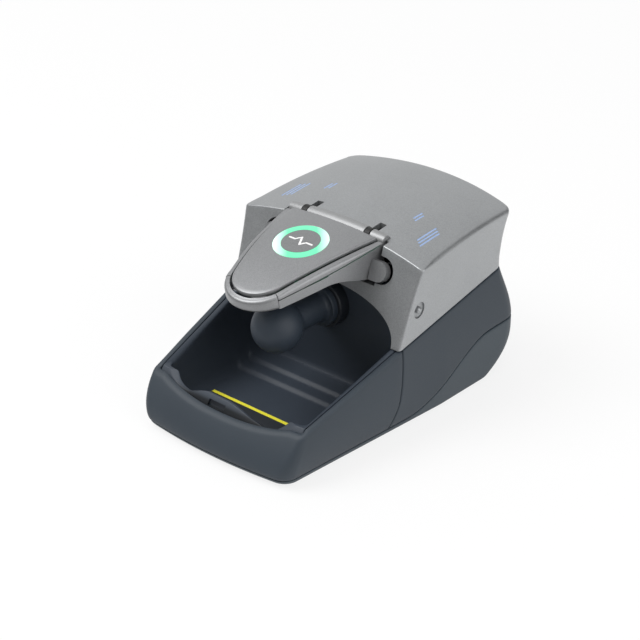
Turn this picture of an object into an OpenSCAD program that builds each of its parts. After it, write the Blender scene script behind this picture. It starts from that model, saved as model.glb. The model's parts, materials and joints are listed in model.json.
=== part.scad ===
// Bench instrument that screens set stones. A low tray lies in front, a hooded housing stands
// behind it, a rubber finger carries the jewellery and a hinged arm swings down over the finger.
// Millimetres, +Y to the rear, +Z up, origin on the bench under the middle of the housing.

/* [Housing] */
// Overall length, from the front bulge to the rear bulge
body_len = 115; // [110:0.5:120]
// Width across the front corners of the roof
roof_w_front = 72.8; // [70:0.2:76]
// Width across the rear corners of the roof
roof_w_rear = 66.4; // [64:0.2:69]
// Width across the waist at the lower corners of the fascia
waist_w_front = 69.8; // [68:0.2:72]
// Width across the waist at the rear
waist_w_rear = 61.8; // [60:0.2:64]
// Width of the foot of the housing at the front
foot_w_front = 56.4; // [54:0.2:59]
// Width of the foot of the housing at the rear
foot_w_rear = 65.8; // [65:0.2:68]
// Height of the roof's side edges at their highest
roof_edge_z = 56.9; // [55:0.1:59]
// Rise of the roof from its side edges to its middle
roof_crown = 4; // [3:0.1:5]
// Radius of the roof seen from the side
roof_r = 235; // [200:1:320]
// Wall of the housing mouldings
wall = 2; // [1.6:0.1:2.4]
// Width of the dark line at each seam of the housing
seam = 0.3; // [0.2:0.05:0.5]

/* [Front and rear walls] */
// How far the front wall leans back from its bulge to the tray's rim
front_lean = 6.6; // [5:0.2:8]
// How far the front wall tucks in under its bulge
front_tuck = 1.6; // [1:0.1:2.4]
// Bow of the front wall across its width
front_bow = 1.7; // [0.7:0.1:2.5]
// Height of the front bulge
front_bulge_z = 4; // [3.4:0.1:5]
// Height of the rear bulge
rear_bulge_z = 15.6; // [13:0.1:18]
// How far the rear wall tucks in under its bulge
rear_tuck = 11.2; // [9:0.1:12]
// How far the rear waist lies ahead of the rear bulge
rear_waist = 8.2; // [7:0.1:9]
// Height of the rear waist
rear_waist_z = 43.2; // [41:0.1:46]
// How far the rear of the roof lies behind the rear waist
rear_flare = 1.5; // [0.8:0.1:3]
// Bow of the rear wall across its width
rear_bow = 2.2; // [1.4:0.1:3]

/* [Tray and hood] */
// Place of the fascia's foot along the housing
tip_y = -9.7; // [-12:0.1:-8]
// Height of the fascia's foot, where the tray's rim ends
tip_z = 29.6; // [28.6:0.1:30.6]
// Lean of the fascia from upright, in degrees
fascia_lean = 19; // [16:0.5:21]
// Slope of the tray's rim, in degrees
rim_angle = 18; // [16:0.2:19]
// Slope of the seam under the cover, in degrees
cover_seam_angle = 7.5; // [6.5:0.1:8.5]
// Dip of the tray's rim in the middle of the front wall
rim_dip = 3.2; // [2:0.1:3.8]
// Thickness of the tray liner
liner_t = 1.2; // [1:0.1:1.5]
// Clearance round the tray liner
liner_fit = 0.3; // [0.2:0.05:0.4]
// Width of the arch in the fascia
arch_w = 62.6; // [58:0.2:63]
// Height of the arch's crown above the bench
arch_top_z = 42.6; // [41:0.1:43.4]
// Place of the chamber's rear wall
chamber_y = -1.5; // [-2:0.1:-1]
// Thickness of the chamber's rear wall and hood
hood_t = 1.6; // [1.2:0.1:2]

/* [Finger] */
// Diameter of the rubber ball
ball_d = 16.2; // [14:0.2:17]
// Place of the ball's centre
ball_y = -25.9; // [-28:0.1:-24]
// Height of the finger
finger_z = 32.9; // [32:0.1:33.5]
// Diameter of the rubber neck
neck_d = 9.6; // [8.4:0.2:11]
// Diameter of the boss that carries the finger
boss_d = 16; // [15:0.2:18]
// Length of the boss
boss_l = 3.9; // [3:0.1:5]
// Diameter of the metal core
core_d = 4; // [3:0.1:5]

/* [Arm] */
// Place of the hinge line along the housing
hinge_y = 2.6; // [2.4:0.1:2.9]
// Height of the hinge line
hinge_z = 57.6; // [57.2:0.1:58]
// Tilt of the closed arm, in degrees
arm_tilt = 10.2; // [9.4:0.1:11]
// Length from the hinge line to the tip of the top plate
arm_len = 44.1; // [42.5:0.1:45.5]
// Width of the top plate at the hinge
plate_w = 33.8; // [33:0.2:34.6]
// Radius of the top plate's nose
nose_r = 9.3; // [8.6:0.1:10]
// Swell of the plate's sides between hinge and nose
arm_swell = 0.7; // [0.3:0.1:1]
// Radius of the domed top of the arm
dome_r = 140; // [120:1:180]
// Height of the dome above the hinge line
dome_rise = 3.6; // [3.4:0.1:3.9]
// Thickness of the top plate
plate_t = 1.2; // [1:0.1:1.3]
// Width of the rim round the top plate
rim_w = 2.6; // [2.2:0.1:2.8]
// Groove between the plate and its rim
rim_gap = 0.5; // [0.4:0.05:0.6]
// Wall of the arm's shells
arm_wall = 1.3; // [1.1:0.1:1.5]
// Depth of the arm's underside below the hinge line, at the nose
nose_depth = 4; // [3.8:0.1:4.4]
// Depth of the arm's underside below the hinge line, at the hinge
heel_depth = 9.8; // [9.4:0.1:10.2]

/* [Hinge] */
// Diameter of the hinge pin
pin_d = 2; // [1.6:0.1:2.4]
// Diameter of the hinge barrel in its middle
barrel_d = 5.8; // [5.6:0.1:6.2]
// Length of the hinge barrel
barrel_l = 38.2; // [37:0.2:39]
// Distance between the two hinge lugs
lug_gap = 25.4; // [24:0.2:27]
// Thickness of a hinge lug
lug_t = 1.8; // [1.4:0.1:2.2]
// Clearance each side of a lug
lug_fit = 0.35; // [0.3:0.05:0.5]
// Radial clearance of the pin in the lugs
pin_fit = 0.05; // [0.03:0.01:0.08]
// Clearance between the barrel and the cover
barrel_fit = 0.4; // [0.35:0.05:0.5]
// Clearance between the barrel and the arm's shells
barrel_gap = 0.3; // [0.25:0.05:0.4]
// Clearance round the arm in the fascia's mouth
mouth_fit = 0.7; // [0.6:0.05:0.9]
// Height of the mouth's sill above the bench
sill_z = 45.4; // [45:0.1:45.6]

/* [Button and light ring] */
// Distance of the button from the hinge line
button_y = 17.2; // [16.6:0.1:17.8]
// Outer diameter of the light ring
ring_d = 17.4; // [17:0.1:18]
// Diameter of the button's face
button_d = 12.2; // [11.6:0.1:12.6]
// Clearance round the button
button_fit = 0.12; // [0.08:0.01:0.2]
// Travel of the button
button_travel = 0.7; // [0.5:0.05:0.8]
// Overhang of the button's retaining flange
button_lip = 0.9; // [0.7:0.05:1]
// Thickness of the arm's circuit board
arm_board_t = 1; // [0.8:0.1:1.2]

/* [Inside] */
// Size of the battery across the housing
battery_w = 26; // [22:1:28]
// Size of the battery along the housing
battery_l = 28; // [24:1:30]
// Thickness of the battery
battery_t = 6; // [5:0.2:6.6]
// Place of the main board's front edge
board_front_y = 4; // [3:0.5:6]
// Thickness of the main circuit board
board_t = 1.6; // [1.2:0.1:2]
// Diameter of the case screws' shafts
screw_d = 2.8; // [2.4:0.1:3]
// Diameter of the case screws' heads
screw_head_d = 5.2; // [4.8:0.1:5.4]
// Diameter of the rubber feet
foot_d = 9; // [8:0.2:10]
// Height of the feet below the pan
foot_h = 0.8; // [0.6:0.1:1]

/* [Hidden] */
$fn = 64;

// Facets of a housing ring: along an end, round a corner and along a side.
end_steps = 3;
corner_steps = 3;
side_steps = 6;
fascia_corner_r = 1.2;
least_corner_r = 0.3;
far = 200;
bite = 0.4;
front_y = -body_len / 2;
rear_y = body_len / 2;
pan_t = 1.6;
floor_z = foot_h + pan_t;
parting_lift = seam / 2;

// Where the sheet-like parts lie.
rim_front_y = front_y + front_lean + front_bow;
rim_front_z = joint_z(rim_front_y);
roof_apex_back = 24.6;
roof_apex_y = rear_y - roof_apex_back;
roof_front_y = fascia_y(roof_edge_z);
waist_taper_end = rear_y - rear_waist - rear_bow;
foot_taper_end = 14;

function mix(a, b, t) = a + (b - a) * t;
function limit(t) = max(0, min(1, t));

// Height of the upper edge of the base: the tray's rim in front, the cover's seam behind.
function joint_z(y) =
    y < tip_y ? tip_z - (tip_y - y) * tan(rim_angle) : tip_z + (y - tip_y) * tan(cover_seam_angle);

// Front plane of the cover.
function fascia_y(z) = tip_y + (z - tip_z) * tan(fascia_lean);

// Height of the roof's side edge.
function roof_side_z(y) = roof_edge_z - pow(y - roof_apex_y, 2) / (2 * roof_r);

// Front wall of the base, in the middle of its width.
front_power = 1.5;
function base_front(z) =
    z < front_bulge_z
    ? front_y + front_tuck * pow((front_bulge_z - z) / (front_bulge_z - foot_h), 2)
    : front_y + front_lean * pow((z - front_bulge_z) / (rim_front_z - front_bulge_z), front_power);

// Rear wall of base and cover, in the middle of its width.
rear_power = 2.5;
function body_rear(z) =
    z < rear_bulge_z
    ? rear_y - rear_tuck * pow((rear_bulge_z - z) / (rear_bulge_z - foot_h), rear_power)
    : z < rear_waist_z
    ? rear_y - rear_waist * (1 - cos(180 * (z - rear_bulge_z) / (rear_waist_z - rear_bulge_z))) / 2
    : rear_y - rear_waist + rear_flare * pow((z - rear_waist_z) / (roof_edge_z - rear_waist_z), 2);

// Half widths of the foot, of the base's upper edge and of the roof.
rim_pull = 0.65;
function foot_half(y) =
    mix(foot_w_front, foot_w_rear, limit((y - front_y) / (foot_taper_end - front_y))) / 2;
function rim_taper() = (waist_w_front - foot_w_front) / 2 * rim_pull / (tip_y - front_y);
function waist_half(y) =
    y < tip_y
    ? waist_w_front / 2 - rim_taper() * (tip_y - y)
    : mix(waist_w_front, waist_w_rear, limit((y - tip_y) / (waist_taper_end - tip_y))) / 2;
function roof_half(y) =
    mix(roof_w_front, roof_w_rear, (y - roof_front_y) / (waist_taper_end - roof_front_y)) / 2;

// The sides swell a little in the base and draw in a little in the cover.
base_swell = 1.5;
cover_draw = 0.4;
function base_half(y, z) =
    let (s = limit(z / joint_z(y)))
    mix(foot_half(y), waist_half(y), s) + base_swell * 4 * s * (1 - s);
function cover_half(y, z) =
    let (s = limit((z - joint_z(y)) / (roof_side_z(y) - joint_z(y))))
    mix(waist_half(y), roof_half(y), s) - cover_draw * 4 * s * (1 - s);

// The upright corners are rounder at the foot than at the tray's rim and at the roof.
front_corner_low = 5;
front_corner_rim = 2.4;
rear_corner_low = 9;
rear_corner_top = 4.2;
function front_corner(z) =
    mix(front_corner_low, front_corner_rim, limit((z - front_bulge_z) / (rim_front_z - front_bulge_z)));
function rear_corner(z) =
    mix(rear_corner_low, rear_corner_top, limit((z - rear_bulge_z) / (rear_waist_z - rear_bulge_z)));
function drawn_in(r, inset) = max(r - inset, least_corner_r);

// One level of a housing loft, anticlockwise from the middle of the front.
function ring(z, front, rear, bow_f, bow_r, r_f, r_r, half) =
    let (yf = front + bow_f + r_f,
         yr = rear - bow_r - r_r,
         xf = half(yf) - r_f,
         xr = half(yr) - r_r,
         right = concat(
             [for (i = [0 : end_steps - 1]) [xf * i / end_steps, front + bow_f * pow(i / end_steps, 2)]],
             [for (i = [0 : corner_steps]) let (a = 90 * i / corner_steps - 90)
                 [xf + r_f * cos(a), yf + r_f * sin(a)]],
             [for (i = [1 : side_steps - 1]) let (y = mix(yf, yr, i / side_steps)) [half(y), y]],
             [for (i = [0 : corner_steps]) let (a = 90 * i / corner_steps)
                 [xr + r_r * cos(a), yr + r_r * sin(a)]],
             [for (i = [end_steps - 1 : -1 : 0]) [xr * i / end_steps, rear - bow_r * pow(i / end_steps, 2)]]),
         last = len(right) - 1)
    concat([for (p = right) [p.x, p.y, z]],
           [for (i = [last - 1 : -1 : 1]) [-right[i].x, right[i].y, z]]);

// Each cap is a fan round its middle, so that points in one line make no empty triangle.
function cap_middle(r) = [0, (r[0].y + r[len(r) / 2].y) / 2, r[0].z];
module loft(rings) {
    n = len(rings[0]);
    m = len(rings);
    function next(i) = (i + 1) % n;
    polyhedron(
        points = [for (r = rings) each r, cap_middle(rings[0]), cap_middle(rings[m - 1])],
        faces = [
            for (i = [0 : n - 1]) [m * n, i, next(i)],
            for (k = [0 : m - 2], i = [0 : n - 1]) [k * n + i, (k + 1) * n + i, (k + 1) * n + next(i)],
            for (k = [0 : m - 2], i = [0 : n - 1]) [k * n + i, (k + 1) * n + next(i), k * n + next(i)],
            for (i = [0 : n - 1]) [m * n + 1, (m - 1) * n + next(i), (m - 1) * n + i]]);
}

// Body of the base, drawn in by inset, from one height to another.
base_levels = 9;
low_levels = 1.3;
module base_loft(inset, low, high, bow = front_bow)
    loft([for (k = [0 : base_levels]) let (z = mix(low, high, pow(k / base_levels, low_levels)))
        ring(z, base_front(z) + front_bow - bow + inset, body_rear(z) - inset, bow, rear_bow,
             drawn_in(front_corner(z), inset), drawn_in(rear_corner(z), inset),
             function (y) base_half(y, z) - inset)]);

// Body of the cover below an unlimited roof.
cover_levels = 7;
module cover_loft(inset, low, high)
    loft([for (k = [0 : cover_levels]) let (z = mix(low, high, k / cover_levels))
        ring(z, fascia_y(z) + inset / cos(fascia_lean), body_rear(z) - inset, 0, rear_bow,
             drawn_in(fascia_corner_r, inset), drawn_in(rear_corner(z), inset),
             function (y) cover_half(y, z) - inset)]);

// Crowned wheel whose rim is the roof, lowered by inset.
crown_r = (pow(roof_w_front / 2, 2) + pow(roof_crown, 2)) / (2 * roof_crown);
module roof_wheel(inset)
    translate([0, roof_apex_y, roof_edge_z - roof_r])
    rotate([0, 90, 0])
    rotate_extrude($fn = 240)
    intersection() {
        translate([roof_r + roof_crown - crown_r, 0]) circle(r = crown_r - inset, $fn = 240);
        translate([0, -far / 2]) square([roof_r + far, far]);
    }

// Prism with a side outline in (Y, Z), right across the housing.
module across(points, w = far) rotate([90, 0, 90]) linear_extrude(w, center = true) polygon(points);

// Seams of the base, seen from the side.
pan_rise_from = -3;
pan_rise_to = 38;
pan_rear_z = 18;
pan_z = floor_z;
curve_steps = 12;
function wave(t) = (1 - cos(180 * limit(t))) / 2;
function pan_seam_z(y) =
    mix(pan_z, pan_rear_z, wave((y - pan_rise_from) / (pan_rise_to - pan_rise_from)));
function pan_seam(lift) = [
    for (i = [0 : curve_steps]) let (y = mix(pan_rise_from, pan_rise_to, i / curve_steps))
        [y, pan_seam_z(y) + lift]];
bezel_seam_y = -7.8;
bezel_seam_curl = 5;
bezel_seam_curl_z = 13;
function bezel_seam_at(z) =
    bezel_seam_y - bezel_seam_curl * pow(limit((bezel_seam_curl_z - z) / bezel_seam_curl_z), 2);
function bezel_seam_down(shift) = [
    for (i = [0 : curve_steps]) let (z = mix(tip_z + far / 10, pan_z + seam, i / curve_steps))
        [bezel_seam_at(z) + shift, z]];

module base_shell() {
    difference() {
        base_loft(0, foot_h, tip_z + far / 20);
        base_loft(wall, floor_z, tip_z + far / 10);
    }
}

// Under the tray's rim and the cover's seam.
module under_joint(drop) across([
    [-far, -far], [far, -far], [far, joint_z(far) - drop], [tip_y, tip_z - drop],
    [-far, joint_z(-far) - drop]]);

// Pillars of the main board.
pillar_r = 2.6;
board_rear_gap = 5;
board_rear_y = rear_y - board_rear_gap;
pillar_inset = 4;
pillar_rear_inset = 12;
pillar_gap = 0.4;
pillar_x = battery_w / 2 + pillar_gap + pillar_r;
board_w = 2 * (pillar_x + pillar_inset);
battery_room = 2;
board_z = floor_z + battery_t + battery_room;
pillar_rows = [board_front_y + pillar_inset, board_rear_y - pillar_rear_inset];
pillar_places = [for (x = [-1, 1], y = pillar_rows) [x * pillar_x, y]];
board_screw_d = 2;
board_screw_head_d = 3.8;
board_screw_head_h = 1.4;
board_screw_l = 7;

// Screw posts that clamp the pan to the cover, with the screw driven from below.
post_r = 3.6;
post_z = 29;
post_front_y = 9;
post_rear_y = 36;
post_gap = 0.4;
post_x = board_w / 2 + post_gap + post_r;
post_places = [for (x = [-1, 1], y = [post_front_y, post_rear_y]) [x * post_x, y]];
screw_seat_z = 24;
screw_end_z = 44;
screw_room = 1;
screw_fit = 0.2;
thread_fit = 0.02;

foot_front = [23, -46];
foot_rear = [27, 22.5];
foot_places = [for (x = [-1, 1], p = [foot_front, foot_rear]) [x * p.x, p.y]];
foot_sink = 0.5;
foot_fit = 0.1;

// Charging socket at the rear of the main board.
socket_w = 9;
socket_l = 7.4;
socket_h = 3.2;
socket_wall = 0.4;
socket_fit = 0.25;
socket_z = board_z + board_t;
socket_sink = 0.5;
socket_rear_y = body_rear(socket_z + socket_h / 2) - socket_sink;

pan_middle_z = foot_h + pan_t / 2;
module bottom_pan() color("#3c4349") {
    difference() {
        union() {
            intersection() {
                base_shell();
                across(concat([[-far, -far], [-far, pan_z], [pan_rise_from, pan_z]], pan_seam(0),
                              [[far, pan_rear_z], [far, -far]]));
            }
            for (p = post_places) translate([p.x, p.y, pan_middle_z])
                cylinder(r = post_r, h = post_z - pan_middle_z);
            for (p = pillar_places) translate([p.x, p.y, pan_middle_z])
                cylinder(r = pillar_r, h = board_z - pan_middle_z);
        }
        for (p = post_places) translate([p.x, p.y, 0]) {
            cylinder(d = screw_head_d + 2 * screw_fit, h = screw_seat_z);
            cylinder(d = screw_d + 2 * screw_fit, h = far);
        }
        for (p = pillar_places) translate([p.x, p.y, board_z - board_screw_l + board_t])
            cylinder(d = board_screw_d + 2 * thread_fit, h = far);
        for (p = foot_places) translate([p.x, p.y, -far + foot_h + foot_sink])
            cylinder(d = foot_d + 2 * foot_fit, h = far);
        translate([0, rear_y, socket_z + socket_h / 2])
            cube([socket_w + 2 * socket_fit, far / 4, socket_h + 2 * socket_fit], center = true);
    }
}

module rear_shell() color("#454d55") intersection() {
    base_shell();
    under_joint(parting_lift);
    across(concat(pan_seam(seam), [[far, pan_rear_z + seam], [far, far]], bezel_seam_down(seam / 2)));
}

// Inside of the front wall at its rim, a little behind the liner's lip.
liner_inset = wall + liner_fit;
lip_front_y = rim_front_y + liner_inset + 2 * liner_t;
dip_margin = 10.5;
module front_bezel() color("#454d55") difference() {
    intersection() {
        base_shell();
        under_joint(parting_lift);
        across(concat([[-far, pan_z + seam], [-far, far]], bezel_seam_down(-seam / 2)));
    }
    // The rim sinks towards the middle of the front wall, between its corners.
    dip_half = waist_half(front_y) - dip_margin;
    dip_r = (dip_half * dip_half + rim_dip * rim_dip) / (2 * rim_dip);
    translate([0, lip_front_y, rim_front_z - rim_dip + dip_r])
        rotate([90, 0, 0]) cylinder(r = dip_r, h = far, $fn = 240);
}

// The liner stops short of the rim and of the chamber's rear wall.
liner_low_z = floor_z + liner_fit;
liner_floor_z = liner_low_z + liner_t;
liner_drop = 0.4;
step_h = 2.2;
step_l = 8;
notch_x = [-7.6, -0.8];
notch_z = [12.5, 14.7];
lip_low_z = 13.4;
tongue_h = 3.4;
tongue_x = [-18, -9, -2, 9];
lip_half = 18.5;
lip_steps = 2 * curve_steps;
function lip_z(x) =
    lip_low_z + tongue_h * wave((x - tongue_x[0]) / (tongue_x[1] - tongue_x[0]))
    * (1 - wave((x - tongue_x[2]) / (tongue_x[3] - tongue_x[2])));
function lip_wave() = [
    for (i = [0 : lip_steps]) let (x = mix(tongue_x[0], tongue_x[3], i / lip_steps)) [x, lip_z(x)]];
module tray_liner() color("#24282d") {
    difference() {
        intersection() {
            difference() {
                base_loft(liner_inset, liner_low_z, tip_z + far / 20, 0);
                difference() {
                    base_loft(liner_inset + liner_t, liner_floor_z, tip_z + far / 10, 0);
                    // A step across the back of the floor, and the rear wall.
                    translate([-far / 2, chamber_y - step_l, 0]) cube([far, far, liner_floor_z + step_h]);
                    translate([-far / 2, chamber_y, 0]) cube([far, far, far]);
                }
            }
            under_joint(liner_drop);
            translate([-far / 2, chamber_y + hood_t - far, 0]) cube([far, far, far]);
        }
        // Lip with a tongue in front, and a latch window through it.
        translate([0, lip_front_y, 0]) rotate([90, 0, 0]) linear_extrude(far)
            polygon(concat([[-lip_half, far], [-lip_half, lip_low_z]], lip_wave(),
                           [[lip_half, lip_low_z], [lip_half, far]]));
        translate([notch_x[0], front_y, notch_z[0]])
            cube([notch_x[1] - notch_x[0], lip_front_y - front_y, notch_z[1] - notch_z[0]]);
    }
}

// Dark plate on the tray's floor with a yellow line along its rear edge.
plate_rear_y = -30.6;
plate_front_y = -43.5;
plate_half = 23;
floor_plate_t = 0.4;
line_w = 1.3;
module floor_plate() color("#1c2024")
    translate([-plate_half, plate_front_y, liner_floor_z])
    cube([2 * plate_half, plate_rear_y - line_w - plate_front_y, floor_plate_t]);
module yellow_line() color("#f2e83a")
    translate([-plate_half, plate_rear_y - line_w, liner_floor_z])
    cube([2 * plate_half, line_w, floor_plate_t]);

// Arch of the fascia: a superellipse that stands on the fascia's foot.
arch_power = 2.3;
arch_steps = 24;
function arch(grow) = [for (i = [0 : arch_steps]) let (a = 180 * i / arch_steps)
    [(arch_w / 2 + grow) * sign(cos(a)) * pow(abs(cos(a)), 2 / arch_power),
     tip_z + (arch_top_z - tip_z + grow) * pow(sin(a), 2 / arch_power)]];
module arch_prism(grow, low) rotate([90, 0, 0]) linear_extrude(far, center = true)
    polygon(concat([[arch_w / 2 + grow, low]], arch(grow), [[-arch_w / 2 - grow, low]]));

// Places children on the fascia: x across, y up along the plane, z straight out of it.
module on_fascia(z) translate([0, fascia_y(z), z]) rotate([90 - fascia_lean, 0, 0]) children();

// Ears of the arm and the recesses that take them.
ear_step = 0.9;
ear_x = plate_w / 2 + rim_w - ear_step;
ear_w = 6.2;
ear_h = 6.4;
ear_drop = 7.5;
ear_z = hinge_z - ear_drop;
ear_out = 2;
ear_in = 0.4;
ear_fit = 1;
module ear_outline(grow) {
    translate([ear_x - grow, -ear_h / 2 - grow]) square([ear_w - ear_h / 2 + grow, ear_h + 2 * grow]);
    translate([ear_x + ear_w - ear_h / 2, 0]) circle(d = ear_h + 2 * grow);
}

// Roof slots over the hinge lugs.
slot_rear_y = 9;
slot_w = lug_t + 2 * lug_fit;

// Dimple in each side of the cover, with a domed pin in it.
dimple_y = -0.4;
dimple_z = 40.6;
dimple_d = 5.4;
dimple_deep = 1;
side_pin_d = 2.2;
side_pin_fit = 0.05;
function side_face_x() = cover_half(dimple_y, dimple_z);
module dimple_bosses(grow) for (x = [0, 1]) mirror([x, 0, 0])
    translate([side_face_x() - dimple_deep - wall - grow, dimple_y, dimple_z])
    rotate([0, 90, 0]) cylinder(d = dimple_d + wall + 2 * grow, h = far);

// Slanted indicator bars in the roof, three outside and two inside on each hand.
bar_w = 0.7;
bar_gap = 1.2;
bar_fit = 0.05;
bar_slant = 0.8;
bar_low_z = roof_edge_z - 2 * wall;
outer_bars = [25.8, 9, 9.4];
inner_bars = [17.4, 17.6, 4.4];
module indicator_bar(bars, i, grow)
    translate([bars[0] + bar_gap * i - bar_w / 2 - grow, bars[1] - bar_slant * i - grow, bar_low_z])
    cube([bar_w + 2 * grow, bars[2] + 2 * grow, far]);
module indicator_bars(grow) for (side = [0, 1]) mirror([side, 0, 0]) {
    for (i = [0 : 2]) indicator_bar(outer_bars, i, grow);
    for (i = [0 : 1]) indicator_bar(inner_bars, i, grow);
}

module cover_solid(inset, low) intersection() {
    cover_loft(inset, low, roof_edge_z + far / 20);
    roof_wheel(inset);
}

// Above the cover's seam.
module over_joint(lift) across([
    [-far, tip_z + lift], [tip_y, tip_z + lift], [far, joint_z(far) + lift], [far, far], [-far, far]]);

// Hinge bracket under the roof, and its posts on the roof.
bracket_z = 48.4;
bracket_t = 1.8;
bracket_front_y = 5.4;
bracket_rear_y = 13;
bracket_half = 17;
bracket_post_x = 6.5;
bracket_post_r = 2.4;
bracket_screw_d = 2;
bracket_screw_head_d = 3.6;
bracket_screw_head_h = 1.3;
bracket_screw_l = 6;
bracket_post_back = 0.6;
bracket_post_y = (bracket_front_y + bracket_rear_y) / 2 + bracket_post_back;

// Indicator board under the roof, on two posts.
lamp_board_z = 50.5;
lamp_board_t = 1.2;
lamp_board_w = 58;
lamp_board_l = 12;
lamp_board_y = 19;
lamp_post_x = 10;
lamp_post_r = 2.2;
lamp_peg_r = 1.1;
lamp_post_y = lamp_board_y + lamp_board_l / 2;

// The hinge's barrel bulges in its middle as the roof does.
function barrel_r(x) = barrel_d / 2 - crown_r + sqrt(crown_r * crown_r - x * x);
module barrel_solid(grow) rotate([0, 90, 0]) rotate_extrude() intersection() {
    translate([barrel_d / 2 - crown_r, 0]) circle(r = crown_r + grow, $fn = 240);
    translate([0, -barrel_l / 2 - grow]) square([barrel_d, barrel_l + 2 * grow]);
}

module top_cover() color("#a9adaf") {
    mouth_half = plate_w / 2 + rim_w + mouth_fit;
    difference() {
        intersection() {
            cover_solid(0, tip_z - far / 40);
            over_joint(parting_lift);
        }
        difference() {
            cover_solid(wall, tip_z - far / 20);
            for (p = post_places) translate([p.x, p.y, post_z + seam]) cylinder(r = post_r, h = far);
            for (x = [-1, 1]) translate([x * bracket_post_x, bracket_post_y, bracket_z + bracket_t])
                cylinder(r = bracket_post_r, h = far);
            for (x = [-1, 1]) translate([x * lamp_post_x, lamp_post_y, lamp_board_z]) {
                cylinder(r = lamp_peg_r, h = far);
                translate([0, 0, lamp_board_t]) cylinder(r = lamp_post_r, h = far);
            }
            dimple_bosses(0);
        }
        // The arch and the arm's mouth go through the fascia only.
        intersection() {
            arch_prism(0, tip_z - far / 20);
            translate([-far / 2, -far, 0]) cube([far, far + chamber_y - liner_fit, far]);
        }
        translate([-mouth_half, hinge_y - far, sill_z]) cube([2 * mouth_half, far, far]);
        for (x = [0, 1]) mirror([x, 0, 0]) on_fascia(ear_z)
            translate([0, 0, -2 * wall]) linear_extrude(far) ear_outline(ear_fit);
        translate([0, hinge_y, hinge_z]) barrel_solid(barrel_fit);
        for (x = [-1, 1]) translate([x * lug_gap / 2 - slot_w / 2, hinge_y, bracket_z])
            cube([slot_w, slot_rear_y - hinge_y, far]);
        for (p = post_places) translate([p.x, p.y, 0])
            cylinder(d = screw_d + 2 * thread_fit, h = screw_end_z + screw_room);
        for (x = [-1, 1]) translate([x * bracket_post_x, bracket_post_y, 0])
            cylinder(d = bracket_screw_d + 2 * thread_fit, h = bracket_z + bracket_screw_l);
        for (x = [0, 1]) mirror([x, 0, 0]) translate([side_face_x() - dimple_deep, dimple_y, dimple_z])
            rotate([0, 90, 0]) {
                cylinder(d = dimple_d, h = far);
                translate([0, 0, -far + dimple_deep]) cylinder(d = side_pin_d + 2 * side_pin_fit, h = far);
            }
        indicator_bars(0);
    }
}

module indicator_windows() color("#8fb0e8") intersection() {
    difference() {
        roof_wheel(0);
        roof_wheel(wall);
    }
    indicator_bars(-bar_fit);
}

module side_pins() color("#9a9d9f") for (x = [0, 1]) mirror([x, 0, 0])
    translate([side_face_x() - dimple_deep - wall, dimple_y, dimple_z]) rotate([0, 90, 0]) {
        cylinder(d = side_pin_d, h = wall + dimple_deep / 2);
        translate([0, 0, wall + dimple_deep / 2]) intersection() {
            sphere(d = side_pin_d);
            cylinder(d = side_pin_d, h = side_pin_d);
        }
    }

// Arched hood and rear wall behind the fascia.
hood_fit = 0.3;
hood_back = wall / cos(fascia_lean) + hood_fit;
hood_top_z = arch_top_z + 2 * hood_t;
hood_low_z = joint_z(chamber_y + hood_t) + hood_fit - liner_drop;
module chamber_hood() color("#1d2125") difference() {
    intersection() {
        union() {
            intersection() {
                arch_prism(hood_t, tip_z - hood_t);
                across([[fascia_y(hood_low_z) + hood_back, hood_low_z],
                        [fascia_y(hood_top_z) + hood_back, hood_top_z],
                        [chamber_y + hood_t, hood_top_z], [chamber_y + hood_t, hood_low_z]]);
            }
            // The rear wall closes the whole width of the cover.
            translate([-far / 2, chamber_y, hood_low_z]) cube([far, hood_t, hood_top_z - hood_low_z]);
        }
        cover_loft(wall + hood_fit, tip_z - 2 * hood_t, hood_top_z + hood_t);
    }
    dimple_bosses(hood_fit);
    intersection() {
        arch_prism(0, tip_z - 2 * hood_t);
        translate([-far / 2, chamber_y - far, 0]) cube([far, far, far]);
    }
    along_finger(0) cylinder(d = core_d + 2 * core_fit, h = far, center = true);
}

// Finger: boss, metal core, nut behind the wall and rubber sleeve with its ball.
core_fit = 0.05;
core_tail = 9;
nut_w = 7;
nut_t = 3;
boss_fit = 0.05;
neck_step_l = 2;
module along_finger(y) translate([0, y, finger_z]) rotate([90, 0, 0]) children();
module finger_boss() color("#2b3036") difference() {
    along_finger(chamber_y - boss_fit) cylinder(d = boss_d, h = boss_l);
    along_finger(0) cylinder(d = core_d + 2 * core_fit, h = far, center = true);
}
module finger_core() color("#b8bbbd")
    along_finger(chamber_y + hood_t + core_tail)
    cylinder(d = core_d, h = chamber_y + hood_t + core_tail - ball_y);
module finger_nut() color("#b8bbbd") difference() {
    along_finger(chamber_y + hood_t + nut_t + boss_fit) cylinder(d = nut_w / cos(30), h = nut_t, $fn = 6);
    along_finger(0) cylinder(d = core_d + 2 * thread_fit, h = far, center = true);
}
module rubber_finger() color("#2a343b") {
    start = chamber_y - boss_fit - boss_l - boss_fit;
    difference() {
        union() {
            along_finger(ball_y) sphere(d = ball_d);
            along_finger(start) cylinder(d = neck_d, h = start - ball_y);
            along_finger(start) cylinder(d = neck_d + 2 * neck_step_l, h = neck_step_l);
        }
        along_finger(chamber_y + core_tail)
            cylinder(d = core_d + 2 * core_fit, h = chamber_y + core_tail - ball_y + core_fit);
    }
}

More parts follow.
